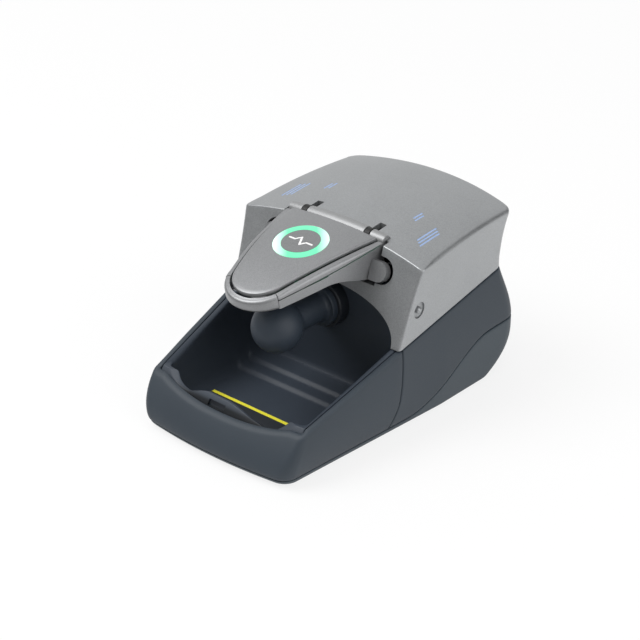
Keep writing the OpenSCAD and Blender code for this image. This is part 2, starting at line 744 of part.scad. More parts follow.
// Electronics in the rear of the base.
module main_board() color("#1f6b3a") difference() {
    translate([-board_w / 2, board_front_y, board_z]) cube([board_w, board_rear_y - board_front_y, board_t]);
    for (p = pillar_places) translate([p.x, p.y, 0]) cylinder(d = board_screw_d + 2 * screw_fit, h = far);
}
module board_screws() color("#b8bbbd") for (p = pillar_places) translate([p.x, p.y, board_z + board_t]) {
    cylinder(d = board_screw_head_d, h = board_screw_head_h);
    translate([0, 0, -board_screw_l + bite]) cylinder(d = board_screw_d, h = board_screw_l);
}
battery_y = (pillar_rows[0] + pillar_rows[1] - battery_l) / 2;
module battery() color("#c9ced2")
    translate([-battery_w / 2, battery_y, floor_z]) cube([battery_w, battery_l, battery_t]);
module charge_socket() color("#b8bbbd") difference() {
    translate([-socket_w / 2, socket_rear_y - socket_l, socket_z]) cube([socket_w, socket_l, socket_h]);
    translate([-socket_w / 2 + socket_wall, socket_rear_y - socket_l + socket_wall, socket_z + socket_wall])
        cube([socket_w - 2 * socket_wall, socket_l, socket_h - 2 * socket_wall]);
}
buzzer_d = 12;
buzzer_h = 6;
buzzer_hole_d = 2;
module buzzer() color("#202326") translate([0, board_front_y + buzzer_d, board_z + board_t]) difference() {
    cylinder(d = buzzer_d, h = buzzer_h);
    translate([0, 0, buzzer_h / 2]) cylinder(d = buzzer_hole_d, h = far);
}
module indicator_board() color("#1f6b3a") difference() {
    translate([-lamp_board_w / 2, lamp_board_y, lamp_board_z])
        cube([lamp_board_w, lamp_board_l, lamp_board_t]);
    for (x = [-1, 1]) translate([x * lamp_post_x, lamp_post_y, 0])
        cylinder(r = lamp_peg_r + thread_fit, h = far);
}
module feet() color("#2b2e31") for (p = foot_places) translate([p.x, p.y, 0])
    cylinder(d = foot_d, h = foot_h + foot_sink);
module case_screws() color("#b8bbbd") for (p = post_places) translate([p.x, p.y, 0]) {
    translate([0, 0, screw_seat_z - screw_d]) cylinder(d = screw_head_d, h = screw_d);
    translate([0, 0, screw_seat_z - bite]) cylinder(d = screw_d, h = screw_end_z - screw_seat_z + bite);
}

// Hinge: a fixed bracket with two lugs, a barrel on the arm, and the pin through them.
lug_eye_r = barrel_r(lug_gap / 2);
lug_back_a = 60;
module on_hinge() translate([0, hinge_y, hinge_z]) rotate([0, 90, 0]) children();
module hinge_bracket() color("#8e9193") difference() {
    union() {
        translate([-bracket_half, bracket_front_y, bracket_z])
            cube([2 * bracket_half, bracket_rear_y - bracket_front_y, bracket_t]);
        for (x = [-1, 1]) translate([x * lug_gap / 2, 0, 0]) {
            across([[bracket_front_y, bracket_z], [slot_rear_y - lug_fit, bracket_z],
                    [slot_rear_y - lug_fit, hinge_z - barrel_d / 2],
                    [hinge_y + lug_eye_r * cos(lug_back_a), hinge_z + lug_eye_r * sin(lug_back_a)],
                    [hinge_y, hinge_z], [hinge_y, hinge_z - lug_eye_r]], lug_t);
            on_hinge() cylinder(r = lug_eye_r, h = lug_t, center = true);
        }
    }
    on_hinge() cylinder(d = pin_d + 2 * pin_fit, h = far, center = true);
    for (x = [-1, 1]) translate([x * bracket_post_x, bracket_post_y, 0])
        cylinder(d = bracket_screw_d + 2 * screw_fit, h = far);
}
module bracket_screws() color("#b8bbbd")
for (x = [-1, 1]) translate([x * bracket_post_x, bracket_post_y, bracket_z]) {
    translate([0, 0, -bracket_screw_head_h]) cylinder(d = bracket_screw_head_d, h = bracket_screw_head_h);
    translate([0, 0, -bite]) cylinder(d = bracket_screw_d, h = bracket_screw_l);
}

// The arm is drawn level with its hinge line at the origin, then tilted into place.
module in_arm() translate([0, hinge_y, hinge_z]) rotate([arm_tilt, 0, 0]) children();

arm_back = -barrel_r(plate_w / 2 + rim_w) - barrel_gap;
nose_turn = 14;
nose_steps = 16;
arm_steps = 10;
nose_y = -arm_len + nose_r;
function arm_edge(grow) = [for (i = [0 : arm_steps]) let (t = i / arm_steps)
    [mix(plate_w / 2, nose_r * cos(nose_turn), t) + arm_swell * 4 * t * (1 - t) + grow,
     mix(arm_back, nose_y - nose_r * sin(nose_turn), t)]];
function arm_nose(grow) = [
    for (i = [1 : nose_steps - 1]) let (a = mix(-nose_turn, nose_turn - 180, i / nose_steps))
        [(nose_r + grow) * cos(a), nose_y + (nose_r + grow) * sin(a)]];
module arm_outline(grow) {
    edge = arm_edge(grow);
    polygon(concat(edge, arm_nose(grow), [for (i = [arm_steps : -1 : 0]) [-edge[i].x, edge[i].y]]));
}
module arm_prism(grow) translate([0, 0, -far / 2]) linear_extrude(far) arm_outline(grow);

// Domed top of the arm, lowered by drop.
module arm_dome(drop) translate([0, -button_y, dome_rise - dome_r]) sphere(r = dome_r - drop, $fn = 360);

// The two shells meet on a sloping line at the sides and on an upright seam at the nose.
nose_cap_l = 4;
seam_nose_y = -arm_len + nose_cap_l;
split_nose_z = -1;
split_heel_z = 0.4;
heel_from = 4;
heel_to = 24;
arm_seam = 0.2;
function underside_z(y) = -mix(heel_depth, nose_depth, wave((-y - heel_from) / (heel_to - heel_from)));
function underside(rise) = [
    for (i = [0 : curve_steps]) let (y = -mix(heel_from, heel_to, i / curve_steps))
        [y, underside_z(y) + rise]];
rim_drop = 0.9;

arm_ledge = 1.6;
arm_boss_r = 2;
module arm_upper_shell() color("#a3a6a6") in_arm() difference() {
    union() {
        difference() {
            intersection() {
                arm_prism(rim_w);
                arm_dome(rim_drop);
                across([[arm_back, far], [arm_back, split_heel_z], [seam_nose_y, split_nose_z],
                        [seam_nose_y, -nose_depth], [-far, -nose_depth], [-far, far]]);
            }
            intersection() {
                arm_prism(-arm_ledge);
                translate([-far / 2, -far, -nose_depth + arm_wall]) cube([far, far, far]);
            }
        }
        // Bosses of the screws that hold the lower shell.
        for (p = arm_screw_places) translate([p.x, p.y, underside_z(p.y - arm_boss_r) + arm_wall + arm_seam])
            cylinder(r = arm_boss_r, h = heel_depth);
    }
    barrel_solid(barrel_gap);
    // Pocket of the top plate, with a ledge under its edge.
    intersection() {
        arm_prism(rim_gap);
        difference() {
            translate([-far / 2, -far / 2, -nose_depth]) cube([far, far, far]);
            arm_dome(plate_t + arm_seam);
        }
    }
    arm_screw_holes(thread_fit);
}

lower_nose_y = seam_nose_y + arm_seam;
module arm_lower_shell() color("#9b9ea0") difference() {
    union() {
        in_arm() difference() {
            intersection() {
                arm_prism(rim_w - arm_seam);
                across(concat([[arm_back, split_heel_z - arm_seam], [arm_back, -heel_depth]], underside(0),
                              [[lower_nose_y, -nose_depth], [lower_nose_y, split_nose_z - arm_seam]]));
            }
            intersection() {
                arm_prism(rim_w - arm_seam - arm_wall);
                across(concat([[arm_back - arm_wall, far], [arm_back - arm_wall, -heel_depth + arm_wall]],
                              underside(arm_wall),
                              [[lower_nose_y + arm_wall, -nose_depth + arm_wall],
                               [lower_nose_y + arm_wall, far]]));
            }
            // Room for the barrel, an opening for the sensor and a slot for the hinge's leaf.
            barrel_solid(barrel_gap);
            translate([0, -sensor_y, -far]) cylinder(d = sensor_d + 2 * sensor_fit, h = far);
            translate([-leaf_half - leaf_fit, -far / 2, leaf_z - leaf_fit])
                cube([2 * (leaf_half + leaf_fit), far, far]);
        }
        for (x = [0, 1]) mirror([x, 0, 0]) on_fascia(ear_z)
            translate([0, 0, -ear_in]) linear_extrude(ear_in + ear_out) ear_outline(0);
    }
    in_arm() {
        arm_screw_holes(screw_fit);
        for (p = arm_screw_places) translate([p.x, p.y, -far + underside_z(p.y) + arm_screw_sink])
            cylinder(d = arm_screw_head_d + 2 * screw_fit, h = far);
    }
}

plate_fit = 0.05;
module arm_top_plate() color("#85878a") in_arm() difference() {
    intersection() {
        arm_prism(0);
        difference() {
            arm_dome(0);
            arm_dome(plate_t);
        }
    }
    translate([0, -button_y, 0]) cylinder(d = ring_d + 2 * plate_fit, h = far);
    barrel_solid(barrel_gap);
}

// Light ring on the arm's board, with a step that keeps the button in.
dome_switch_d = 6;
dome_switch_t = 0.3;
board_drop = 4.6;
board_top_z = dome_rise - board_drop;
ring_step_z = dome_rise - plate_t;
module light_ring() color("#7ff0c0") in_arm() translate([0, -button_y, 0]) difference() {
    intersection() {
        translate([0, 0, board_top_z]) cylinder(d = ring_d, h = far);
        translate([0, button_y, 0]) arm_dome(0);
    }
    cylinder(d = button_d + 2 * button_fit, h = far);
    translate([0, 0, -far + ring_step_z])
        cylinder(d = button_d + 2 * button_lip + 2 * button_fit, h = far);
}

button_lift = 0.05;
lip_t = 0.8;
mark_deep = 0.3;
stem_d = 3;
stem_z = board_top_z + dome_switch_t + button_travel + button_lift;
module button_cap() color("#85878a") in_arm() translate([0, -button_y, 0]) difference() {
    union() {
        intersection() {
            translate([0, 0, ring_step_z - button_lift - lip_t]) cylinder(d = button_d, h = far);
            translate([0, button_y, 0]) arm_dome(0);
        }
        translate([0, 0, ring_step_z - button_lift - lip_t])
            cylinder(d = button_d + 2 * button_lip, h = lip_t);
        // Stem that reaches the switch at the end of the travel.
        translate([0, 0, stem_z]) cylinder(d = stem_d, h = ring_step_z - stem_z - lip_t);
    }
    translate([0, 0, dome_rise - mark_deep]) linear_extrude(far) pulse(0);
}
module button_mark() color("#f4f5f5") in_arm()
    translate([0, -button_y, dome_rise - mark_deep])
    linear_extrude(mark_deep - mark_sink) pulse(-mark_fit);

// Plain pulse sign: a level line with one peak and one dip.
mark_fit = 0.02;
mark_sink = 0.08;
mark_line = 0.75;
pulse_points = [[-4.4, 0], [-2.2, 0], [-0.9, 1.7], [0.9, -1.7], [2.2, 0], [4.4, 0]];
module pulse(grow) for (i = [0 : len(pulse_points) - 2]) {
    a = pulse_points[i];
    b = pulse_points[i + 1];
    d = b - a;
    translate(a) rotate(atan2(d.y, d.x)) translate([0, -mark_line / 2 - grow])
        square([norm(d), mark_line + 2 * grow]);
    translate(a) circle(d = mark_line + 2 * grow);
    translate(b) circle(d = mark_line + 2 * grow);
}

arm_board_edge = 0.3;
arm_board_half = ring_d / 2 + arm_board_edge;
module arm_board() color("#1f6b3a") in_arm()
    translate([-arm_board_half, -button_y - arm_board_half, board_top_z - arm_board_t])
    cube([2 * arm_board_half, 2 * arm_board_half, arm_board_t]);
module switch_dome() color("#b8bbbd") in_arm()
    translate([0, -button_y, board_top_z]) cylinder(d = dome_switch_d, h = dome_switch_t);

// Sensor under the arm, over the ball: a black holder, a glass window and the sensing chip behind it.
sensor_y = (hinge_y - ball_y) / cos(arm_tilt);
sensor_d = 10;
sensor_fit = 0.05;
sensor_proud = 2;
sensor_wall = 1.2;
window_t = 1;
window_seat = 0.4;
chip_w = 3.4;
chip_t = 1;
sensor_low_z = -nose_depth - sensor_proud;
sensor_flange_t = 0.5;
sensor_h = sensor_proud + arm_wall + sensor_flange_t;
module sensor_holder() color("#1d2024") in_arm() translate([0, -sensor_y, sensor_low_z]) difference() {
    union() {
        cylinder(d = sensor_d, h = sensor_h);
        translate([0, 0, sensor_proud + arm_wall])
            cylinder(d = sensor_d + 2 * sensor_wall, h = sensor_flange_t);
    }
    translate([0, 0, -far + window_t + window_seat]) cylinder(d = sensor_d - 2 * sensor_wall, h = far);
    cylinder(d = sensor_d - 4 * sensor_wall, h = sensor_h - chip_t);
}
module sensor_window() color("#5c6f8c") in_arm() translate([0, -sensor_y, sensor_low_z + window_seat])
    cylinder(d = sensor_d - 2 * sensor_wall - 2 * sensor_fit, h = window_t - sensor_fit);
module sensor_chip() color("#3a3d40") in_arm()
    translate([-chip_w / 2, -sensor_y - chip_w / 2, sensor_low_z + sensor_h - 2 * chip_t - sensor_fit])
    cube([chip_w, chip_w, chip_t]);

// Barrel with its leaf under the top plate.
leaf_t = 0.9;
leaf_l = 4;
leaf_fit = 0.3;
leaf_half = plate_w / 2 - arm_ledge - leaf_fit;
leaf_z = -0.6;
module hinge_barrel() color("#c8cacb") in_arm() difference() {
    union() {
        barrel_solid(0);
        translate([-leaf_half, -barrel_d / 2 - leaf_l, leaf_z])
            cube([2 * leaf_half, barrel_d / 2 + leaf_l, leaf_t]);
    }
    rotate([0, 90, 0]) cylinder(d = pin_d + 2 * thread_fit, h = far, center = true);
    for (x = [-1, 1]) translate([x * lug_gap / 2, 0, 0])
        cube([slot_w, barrel_d + 4 * barrel_fit, far], center = true);
}
module hinge_pin() color("#d5d7d8") in_arm()
    rotate([0, 90, 0]) cylinder(d = pin_d, h = barrel_l, center = true);

// Screws that hold the arm's shells together, driven from below.
arm_screw_d = 1.6;
arm_screw_head_d = 3;
arm_screw_head_h = 1;
arm_screw_sink = 0.4;
arm_screw_inset = 3.7;
arm_screw_y = -barrel_d / 2 - leaf_l - leaf_fit - arm_boss_r;
arm_screw_places = [for (x = [-1, 1]) [x * (plate_w / 2 - arm_screw_inset), arm_screw_y]];
module arm_screw_holes(fit) for (p = arm_screw_places) translate([p.x, p.y, -far / 2])
    cylinder(d = arm_screw_d + 2 * fit, h = far);
module arm_screws() color("#b8bbbd") in_arm()
for (p = arm_screw_places) translate([p.x, p.y, underside_z(p.y) + arm_screw_sink]) {
    translate([0, 0, -arm_screw_head_h]) cylinder(d = arm_screw_head_d, h = arm_screw_head_h);
    translate([0, 0, -bite]) cylinder(d = arm_screw_d, h = heel_depth - plate_t);
}

bottom_pan();
rear_shell();
front_bezel();
tray_liner();
floor_plate();
yellow_line();
top_cover();
chamber_hood();
finger_boss();
finger_core();
finger_nut();
rubber_finger();
side_pins();
indicator_windows();
indicator_board();
hinge_bracket();
bracket_screws();
main_board();
board_screws();
battery();
charge_socket();
buzzer();
feet();
case_screws();
arm_upper_shell();
arm_lower_shell();
arm_top_plate();
hinge_barrel();
hinge_pin();
light_ring();
arm_board();
switch_dome();
sensor_holder();
sensor_window();
sensor_chip();
arm_screws();
button_cap();
button_mark();
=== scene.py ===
# %% [markdown]
# # A bench tester for set stones
#
# The real object is a small moulded instrument. A dark tray lies in front, a metallic hood stands
# behind it, a rubber finger holds what is tested, and a hinged arm with a lit button swings down over
# the finger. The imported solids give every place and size, and this file dresses them.

# %% The frame
import json
import math
import bmesh
import bpy
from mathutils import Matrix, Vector


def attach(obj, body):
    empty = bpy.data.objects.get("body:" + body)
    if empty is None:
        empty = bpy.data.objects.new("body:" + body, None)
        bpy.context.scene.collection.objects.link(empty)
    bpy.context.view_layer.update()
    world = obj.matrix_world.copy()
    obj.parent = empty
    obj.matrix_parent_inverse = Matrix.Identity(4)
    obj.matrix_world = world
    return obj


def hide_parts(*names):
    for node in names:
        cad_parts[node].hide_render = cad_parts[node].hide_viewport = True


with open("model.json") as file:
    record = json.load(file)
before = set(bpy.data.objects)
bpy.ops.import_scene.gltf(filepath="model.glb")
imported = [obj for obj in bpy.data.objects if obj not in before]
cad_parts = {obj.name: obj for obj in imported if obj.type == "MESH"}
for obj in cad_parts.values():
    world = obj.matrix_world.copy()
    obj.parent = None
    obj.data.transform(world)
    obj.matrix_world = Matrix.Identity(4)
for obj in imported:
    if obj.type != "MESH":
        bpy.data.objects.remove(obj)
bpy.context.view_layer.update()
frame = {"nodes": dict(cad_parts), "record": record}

# %% [markdown]
# ## Sizes
#
# The curved housing is drawn again here with many more points than a solid model needs, so its few
# driving sizes are repeated. They are in millimetres, as on a drawing, and turn into metres only
# where a mesh is made.

# %% Sizes of the housing
MM = 0.001
BODY_LEN = 115.0
FRONT_Y = -BODY_LEN / 2
REAR_Y = BODY_LEN / 2
ROOF_W = (72.8, 66.4)
WAIST_W = (69.8, 61.8)
FOOT_W = (56.4, 65.8)
ROOF_EDGE_Z = 56.9
ROOF_CROWN = 4.0
ROOF_R = 235
ROOF_APEX_Y = REAR_Y - 24.6
CROWN_R = ((ROOF_W[0] / 2) ** 2 + ROOF_CROWN ** 2) / (2 * ROOF_CROWN)
WALL = 2.0
SEAM = 0.3
FOOT_H = 0.8
PAN_Z = 2.4
FRONT_LEAN = 6.6
FRONT_TUCK = 1.6
FRONT_BOW = 1.7
FRONT_BULGE_Z = 4.0
FRONT_POWER = 1.5
REAR_BULGE_Z = 15.6
REAR_TUCK = 11.2
REAR_POWER = 2.5
REAR_WAIST = 8.2
REAR_WAIST_Z = 43.2
REAR_FLARE = 1.5
REAR_BOW = 2.2
FRONT_CORNER = (5.0, 2.4)
REAR_CORNER = (9.0, 4.2)
FASCIA_CORNER_R = 1.2
LEAST_CORNER_R = 0.3
TIP_Y = -9.7
TIP_Z = 29.6
FASCIA_LEAN = math.radians(19)
RIM_SLOPE = math.tan(math.radians(18))
COVER_SEAM_SLOPE = math.tan(math.radians(7.5))
RIM_DIP = 2.6
RIM_DIP_HALF = 26.0
RIM_POWER = 2.5
RIM_PULL = 0.65
BASE_SWELL = 1.5
COVER_DRAW = 0.4
FOOT_TAPER_END = 14
WAIST_TAPER_END = REAR_Y - REAR_WAIST - REAR_BOW
print("body", BODY_LEN, "long, roof crown radius", round(CROWN_R, 1))

# %% [markdown]
# Each wall of the housing follows a plain rule: a straight slope, a parabola or half a cosine wave.
# The functions below are those rules, so a point anywhere on the housing can be worked out.

# %% Rules of the housing's walls
def mix(a, b, t):
    return a + (b - a) * t


def limit(t):
    return max(0.0, min(1.0, t))


def wave(t):
    return (1 - math.cos(math.pi * limit(t))) / 2


def joint_z(y):
    """Upper edge of the base: the tray's rim in front, the cover's seam behind."""
    slope = RIM_SLOPE if y < TIP_Y else COVER_SEAM_SLOPE
    return TIP_Z + (y - TIP_Y) * slope


def fascia_y(z):
    return TIP_Y + (z - TIP_Z) * math.tan(FASCIA_LEAN)


def roof_z(x, y, inset=0.0):
    """Height of the crowned roof, lowered by inset."""
    radius = ROOF_R + ROOF_CROWN - CROWN_R + math.sqrt((CROWN_R - inset) ** 2 - x * x)
    return ROOF_EDGE_Z - ROOF_R + math.sqrt(radius ** 2 - (y - ROOF_APEX_Y) ** 2)


def roof_side_z(y):
    return ROOF_EDGE_Z - (y - ROOF_APEX_Y) ** 2 / (2 * ROOF_R)


RIM_FRONT_Z = joint_z(FRONT_Y + FRONT_LEAN + FRONT_BOW)
ROOF_FRONT_Y = fascia_y(ROOF_EDGE_Z)


def base_front(z):
    if z < FRONT_BULGE_Z:
        return FRONT_Y + FRONT_TUCK * ((FRONT_BULGE_Z - z) / (FRONT_BULGE_Z - FOOT_H)) ** 2
    return FRONT_Y + FRONT_LEAN * ((z - FRONT_BULGE_Z) / (RIM_FRONT_Z - FRONT_BULGE_Z)) ** FRONT_POWER


def body_rear(z):
    if z < REAR_BULGE_Z:
        return REAR_Y - REAR_TUCK * ((REAR_BULGE_Z - z) / (REAR_BULGE_Z - FOOT_H)) ** REAR_POWER
    if z < REAR_WAIST_Z:
        return REAR_Y - REAR_WAIST * wave((z - REAR_BULGE_Z) / (REAR_WAIST_Z - REAR_BULGE_Z))
    return REAR_Y - REAR_WAIST + REAR_FLARE * ((z - REAR_WAIST_Z) / (ROOF_EDGE_Z - REAR_WAIST_Z)) ** 2


def foot_half(y):
    return mix(FOOT_W[0], FOOT_W[1], limit((y - FRONT_Y) / (FOOT_TAPER_END - FRONT_Y))) / 2


def waist_half(y):
    if y < TIP_Y:
        taper = (WAIST_W[0] - FOOT_W[0]) / 2 * RIM_PULL / (TIP_Y - FRONT_Y)
        return WAIST_W[0] / 2 - taper * (TIP_Y - y)
    return mix(WAIST_W[0], WAIST_W[1], limit((y - TIP_Y) / (WAIST_TAPER_END - TIP_Y))) / 2


def roof_half(y):
    return mix(ROOF_W[0], ROOF_W[1], (y - ROOF_FRONT_Y) / (WAIST_TAPER_END - ROOF_FRONT_Y)) / 2


def base_half(y, z):
    s = limit(z / joint_z(y))
    return mix(foot_half(y), waist_half(y), s) + BASE_SWELL * 4 * s * (1 - s)


def cover_half(y, z):
    s = limit((z - joint_z(y)) / (roof_side_z(y) - joint_z(y)))
    return mix(waist_half(y), roof_half(y), s) - COVER_DRAW * 4 * s * (1 - s)


def front_corner(z, inset=0.0):
    """Radius of the upright front corners, rounder at the foot than at the rim."""
    share = limit((z - FRONT_BULGE_Z) / (RIM_FRONT_Z - FRONT_BULGE_Z))
    return max(mix(*FRONT_CORNER, share) - inset, LEAST_CORNER_R)


def rear_corner(z, inset=0.0):
    share = limit((z - REAR_BULGE_Z) / (REAR_WAIST_Z - REAR_BULGE_Z))
    return max(mix(*REAR_CORNER, share) - inset, LEAST_CORNER_R)


print("tray rim in front at", round(RIM_FRONT_Z, 2), "roof at the hinge", round(roof_z(0, 2.6), 2))

# %% [markdown]
# ## Mesh helpers
#
# Nearly every moulding here is a band with a wall thickness that runs round an outline. A band is a
# closed section, carried from station to station. Small arcs on the section's corners are the
# rounded edges that catch a thin line of light, and they cost less than a bevel modifier would.

# %% From points to a piece
SMOOTH_ANGLE = math.radians(32)
EDGE = 0.45
DRESSED = []


def new_mesh(name, points, faces, weld=0.0):
    """A mesh from millimetre points, with outward normals and smooth shading."""
    mesh = bpy.data.meshes.new(name)
    mesh.from_pydata([[c * MM for c in p] for p in points], [], faces)
    work = bmesh.new()
    work.from_mesh(mesh)
    if weld:
        bmesh.ops.remove_doubles(work, verts=work.verts, dist=weld * MM)
    bmesh.ops.recalc_face_normals(work, faces=work.faces)
    work.to_mesh(mesh)
    work.free()
    mesh.shade_smooth()
    mesh.set_sharp_from_angle(angle=SMOOTH_ANGLE)
    piece = bpy.data.objects.new(name, mesh)
    bpy.context.scene.collection.objects.link(piece)
    return piece


def dress(piece, body, slot, *nodes, look=None):
    """Lets a piece ride on its body, names its finish and hides the solids that it stands for."""
    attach(piece, body)
    if nodes:
        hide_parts(*nodes)
    DRESSED.append((piece, look or slot))
    print(piece.name, len(piece.data.vertices), "points")


def sweep(loops, closed=False):
    """Faces between closed sections that follow each other, with end caps on an open run."""
    n = len(loops[0])
    m = len(loops)
    faces = []
    for k in range(m if closed else m - 1):
        a = k * n
        b = (k + 1) % m * n
        faces += [(a + i, a + (i + 1) % n, b + (i + 1) % n, b + i) for i in range(n)]
    if not closed:
        faces += [tuple(range(n)), tuple(range((m - 1) * n, m * n))]
    return faces


def chained(loops):
    return [p for loop in loops for p in loop]


def swept(loops, closed=False):
    """Points and faces of the solid that a run of sections makes."""
    return chained(loops), sweep(loops, closed)


def sheet(rows, columns):
    """Faces of a sheet of points that are listed row after row."""
    return [(k * columns + i, k * columns + i + 1, (k + 1) * columns + i + 1, (k + 1) * columns + i)
            for k in range(rows - 1) for i in range(columns - 1)]


def spread(count, first=0.0, last=1.0):
    return [mix(first, last, i / (count - 1)) for i in range(count)]


def mirrored(points):
    return [(-x, y, z) for x, y, z in points]


# %% [markdown]
# A station is a place on the outline: a part of it, such as the side, and a share of the way along it.
# The outline changes with height, so every point is worked out at its own level. A flat outline that is
# pushed up would be simpler, but it cannot lean, swell and taper at the same time.

# %% Stations round the outline
ARC = [math.radians(a) for a in (0, 30, 60, 90)]
LEAST_EDGE = 0.02
BAND_ROWS = 18


def walk(**counts):
    """Stations from the middle of the front to the rear, so many on each part of the outline."""
    stations = []
    for part, count in counts.items():
        ends = (1, 0) if part.startswith("rear") else (0, 1)
        stations += [(part, t) for t in spread(count, *ends)[1 if stations else 0:]]
    return stations


def corner_lean(bow, reach, radius):
    """Angle at which a bowed end wall runs into its corner."""
    lean = 0.0
    for _ in range(3):
        lean = math.atan2(2 * bow, reach + radius * math.sin(lean))
    return lean


def end_corner(wall_y, bow, radius, half, way):
    """Middle of a corner's arc, and its lean. Way is 1 for the front wall and -1 for the rear wall."""
    y = wall_y + way * (bow + radius)
    lean = corner_lean(bow, half(y) - radius, radius)
    y = wall_y + way * (bow + radius * math.cos(lean))
    return half(y) - radius, y, lean


def outline_point(station, z, half, front, rear, span=(None, None)):
    """A point of one level. Front and rear are (place, bow, corner radius) of the end walls."""
    part, t = station[:2]
    if part in ("front", "front_corner"):
        (place, bow, radius), way = front, 1
    else:
        (place, bow, radius), way = rear, -1
    x, y, lean = end_corner(place, bow, radius, half, way)
    if part in ("front", "rear"):
        return t * (x + radius * math.sin(lean)), place + way * bow * t * t, z
    if part in ("front_corner", "rear_corner"):
        a = mix(math.pi / 2 - lean, 0, t)
        return x + radius * math.cos(a), y - way * radius * math.sin(a), z
    low = end_corner(*front, half, 1)[1] if span[0] is None else span[0]
    high = end_corner(*rear, half, -1)[1] if span[1] is None else span[1]
    y = mix(low, high, t) + (station[2] if len(station) > 2 else 0)
    return half(y), y, z


def base_point(station, z, inset=0.0, span=(None, None)):
    return outline_point(
        station, z, lambda y: base_half(y, z) - inset,
        (base_front(z) + inset, FRONT_BOW, front_corner(z, inset)),
        (body_rear(z) - inset, REAR_BOW, rear_corner(z, inset)), span)


def cover_point(station, z, inset=0.0):
    return outline_point(
        station, z, lambda y: cover_half(y, z) - inset,
        (fascia_y(z) + inset / math.cos(FASCIA_LEAN), 0, max(FASCIA_CORNER_R - inset, LEAST_CORNER_R)),
        (body_rear(z) - inset, REAR_BOW, rear_corner(z, inset)))


def level(station, point, rule, first):
    """Height at which a station meets a rule that depends on where the station then is."""
    z = first
    for _ in range(25):
        z = rule(*point(station, z)[:2])
    return z


def corner(z, inset, r, up, out, turns):
    """Rounded corner of a section, as (height, inset) pairs about its middle."""
    return [(z + up * r * math.sin(a), inset + out * r * math.cos(a)) for a in turns]


def band(low, high, shrink=0.0, brow=EDGE):
    """Closed section of a wall as (height, inset) pairs. Brow is the rounding of its upper outer edge."""
    low, high, out, deep = low + shrink, high - shrink, shrink, WALL - shrink
    e = max(EDGE - shrink, LEAST_EDGE)
    r = max(brow - shrink, LEAST_EDGE)
    section = corner(low + e, out + e, e, -1, -1, reversed(ARC))
    section += [(z, out) for z in spread(BAND_ROWS, low + e, high - r)[1:-1]]
    section += corner(high - r, out + r, r, 1, -1, spread(8, 0, math.pi / 2))
    section += corner(high - e, deep - e, e, 1, 1, reversed(ARC))
    section += [(z, deep) for z in spread(5, high - e, low + e)[1:-1]]
    return section + corner(low + e, deep - e, e, -1, 1, ARC)


print("mesh helpers ready")

# %% [markdown]
# ## Base
#
# The dark base is three mouldings: a front bezel round the tray, a rear shell, and a pan that closes
# the bottom and sweeps up in an S at the back. Boxes with bevels could not follow the tapering,
# swelling walls, so each one is a band between two seams.

# %% Front bezel
BROW = (1.25, 0.6)
BROW_FADE = 3
BEZEL_SEAM_Y = -7.8
BEZEL_CURL = 5.0
BEZEL_CURL_Z = 13.0
SIDE_END = 0.015
PARTING = SEAM / 2
RIM_CORNER_Y = FRONT_Y + FRONT_LEAN + FRONT_BOW


def bezel_seam(z):
    return BEZEL_SEAM_Y - BEZEL_CURL * limit((BEZEL_CURL_Z - z) / BEZEL_CURL_Z) ** 2


def rim_sag(x, power):
    """Share of the dip in the front wall: 1 in the middle, 0 at the corners."""
    return 1 - min(abs(x) / RIM_DIP_HALF, 1) ** power


def rim_rule(x, y):
    """Tray's rim, which sinks towards the middle of the front wall."""
    return joint_z(max(y, RIM_CORNER_Y)) - PARTING - RIM_DIP * rim_sag(x, RIM_POWER)


def rounded_end(way):
    """Last stations of a run along the side, which round off its end."""
    return [(way * EDGE * (math.sin(a) - 1), EDGE * (1 - math.cos(a))) for a in ARC]


def bezel_loop(station, shrink=0.0):
    def at(s, z, inset=0.0):
        return base_point(s, z, inset, (None, bezel_seam(z) - PARTING))
    high = level(station, at, rim_rule, 16)
    brow = mix(*BROW, wave(station[1] * BROW_FADE)) if station[0] == "side" else BROW[0]
    return [at(station, z, inset) for z, inset in band(PAN_Z + SEAM, high, shrink, brow)]


def front_bezel():
    right = [bezel_loop(s) for s in walk(front=40, front_corner=12)]
    right += [bezel_loop(("side", t)) for t in spread(30, 0, 1 - SIDE_END)[1:]]
    right += [bezel_loop(("side", 1, shift), shrink) for shift, shrink in rounded_end(1)]
    left = [mirrored(loop) for loop in reversed(right[1:])]
    return new_mesh("bezel_moulding", *swept(left + right))


dress(front_bezel(), "housing", "base_plastic", "front_bezel")

# %% [markdown]
# The rear shell meets the bezel at the upright seam and goes round the back. Its lower edge follows the
# S of the pan. The same band does for it, with another rule for each of its two edges.

# %% Rear shell
PAN_RISE = (-3.0, 38.0)
PAN_REAR_Z = 18.0


def pan_seam(y):
    return mix(PAN_Z, PAN_REAR_Z, wave((y - PAN_RISE[0]) / (PAN_RISE[1] - PAN_RISE[0])))


def rear_loop(station, shrink=0.0):
    def at(s, z, inset=0.0):
        return base_point(s, z, inset, (bezel_seam(z) + PARTING, None))
    high = level(station, at, lambda x, y: joint_z(y) - PARTING, 32)
    low = level(station, at, lambda x, y: pan_seam(y) + SEAM, 8)
    return [at(station, z, inset) for z, inset in band(low, high, shrink)]


def rear_shell():
    right = [rear_loop(("side", 0, shift), shrink) for shift, shrink in reversed(rounded_end(-1))]
    right += [rear_loop(("side", t)) for t in spread(44, SIDE_END, 1)]
    right += [rear_loop(s) for s in walk(rear_corner=16, rear=22)[1:]]
    left = [mirrored(loop) for loop in reversed(right[:-1])]
    return new_mesh("rear_moulding", *swept(right + left))


dress(rear_shell(), "housing", "base_plastic", "rear_shell")

# %% [markdown]
# Holes are cut with booleans, because they are plain forms in finished walls. A cutter is a box, a
# turned solid or a run of sections, and it is thrown away after the cut.

# %% Cutters
BELOW_Z = -5.0
TURN_STEPS = 64
HOLE_STEPS = 40


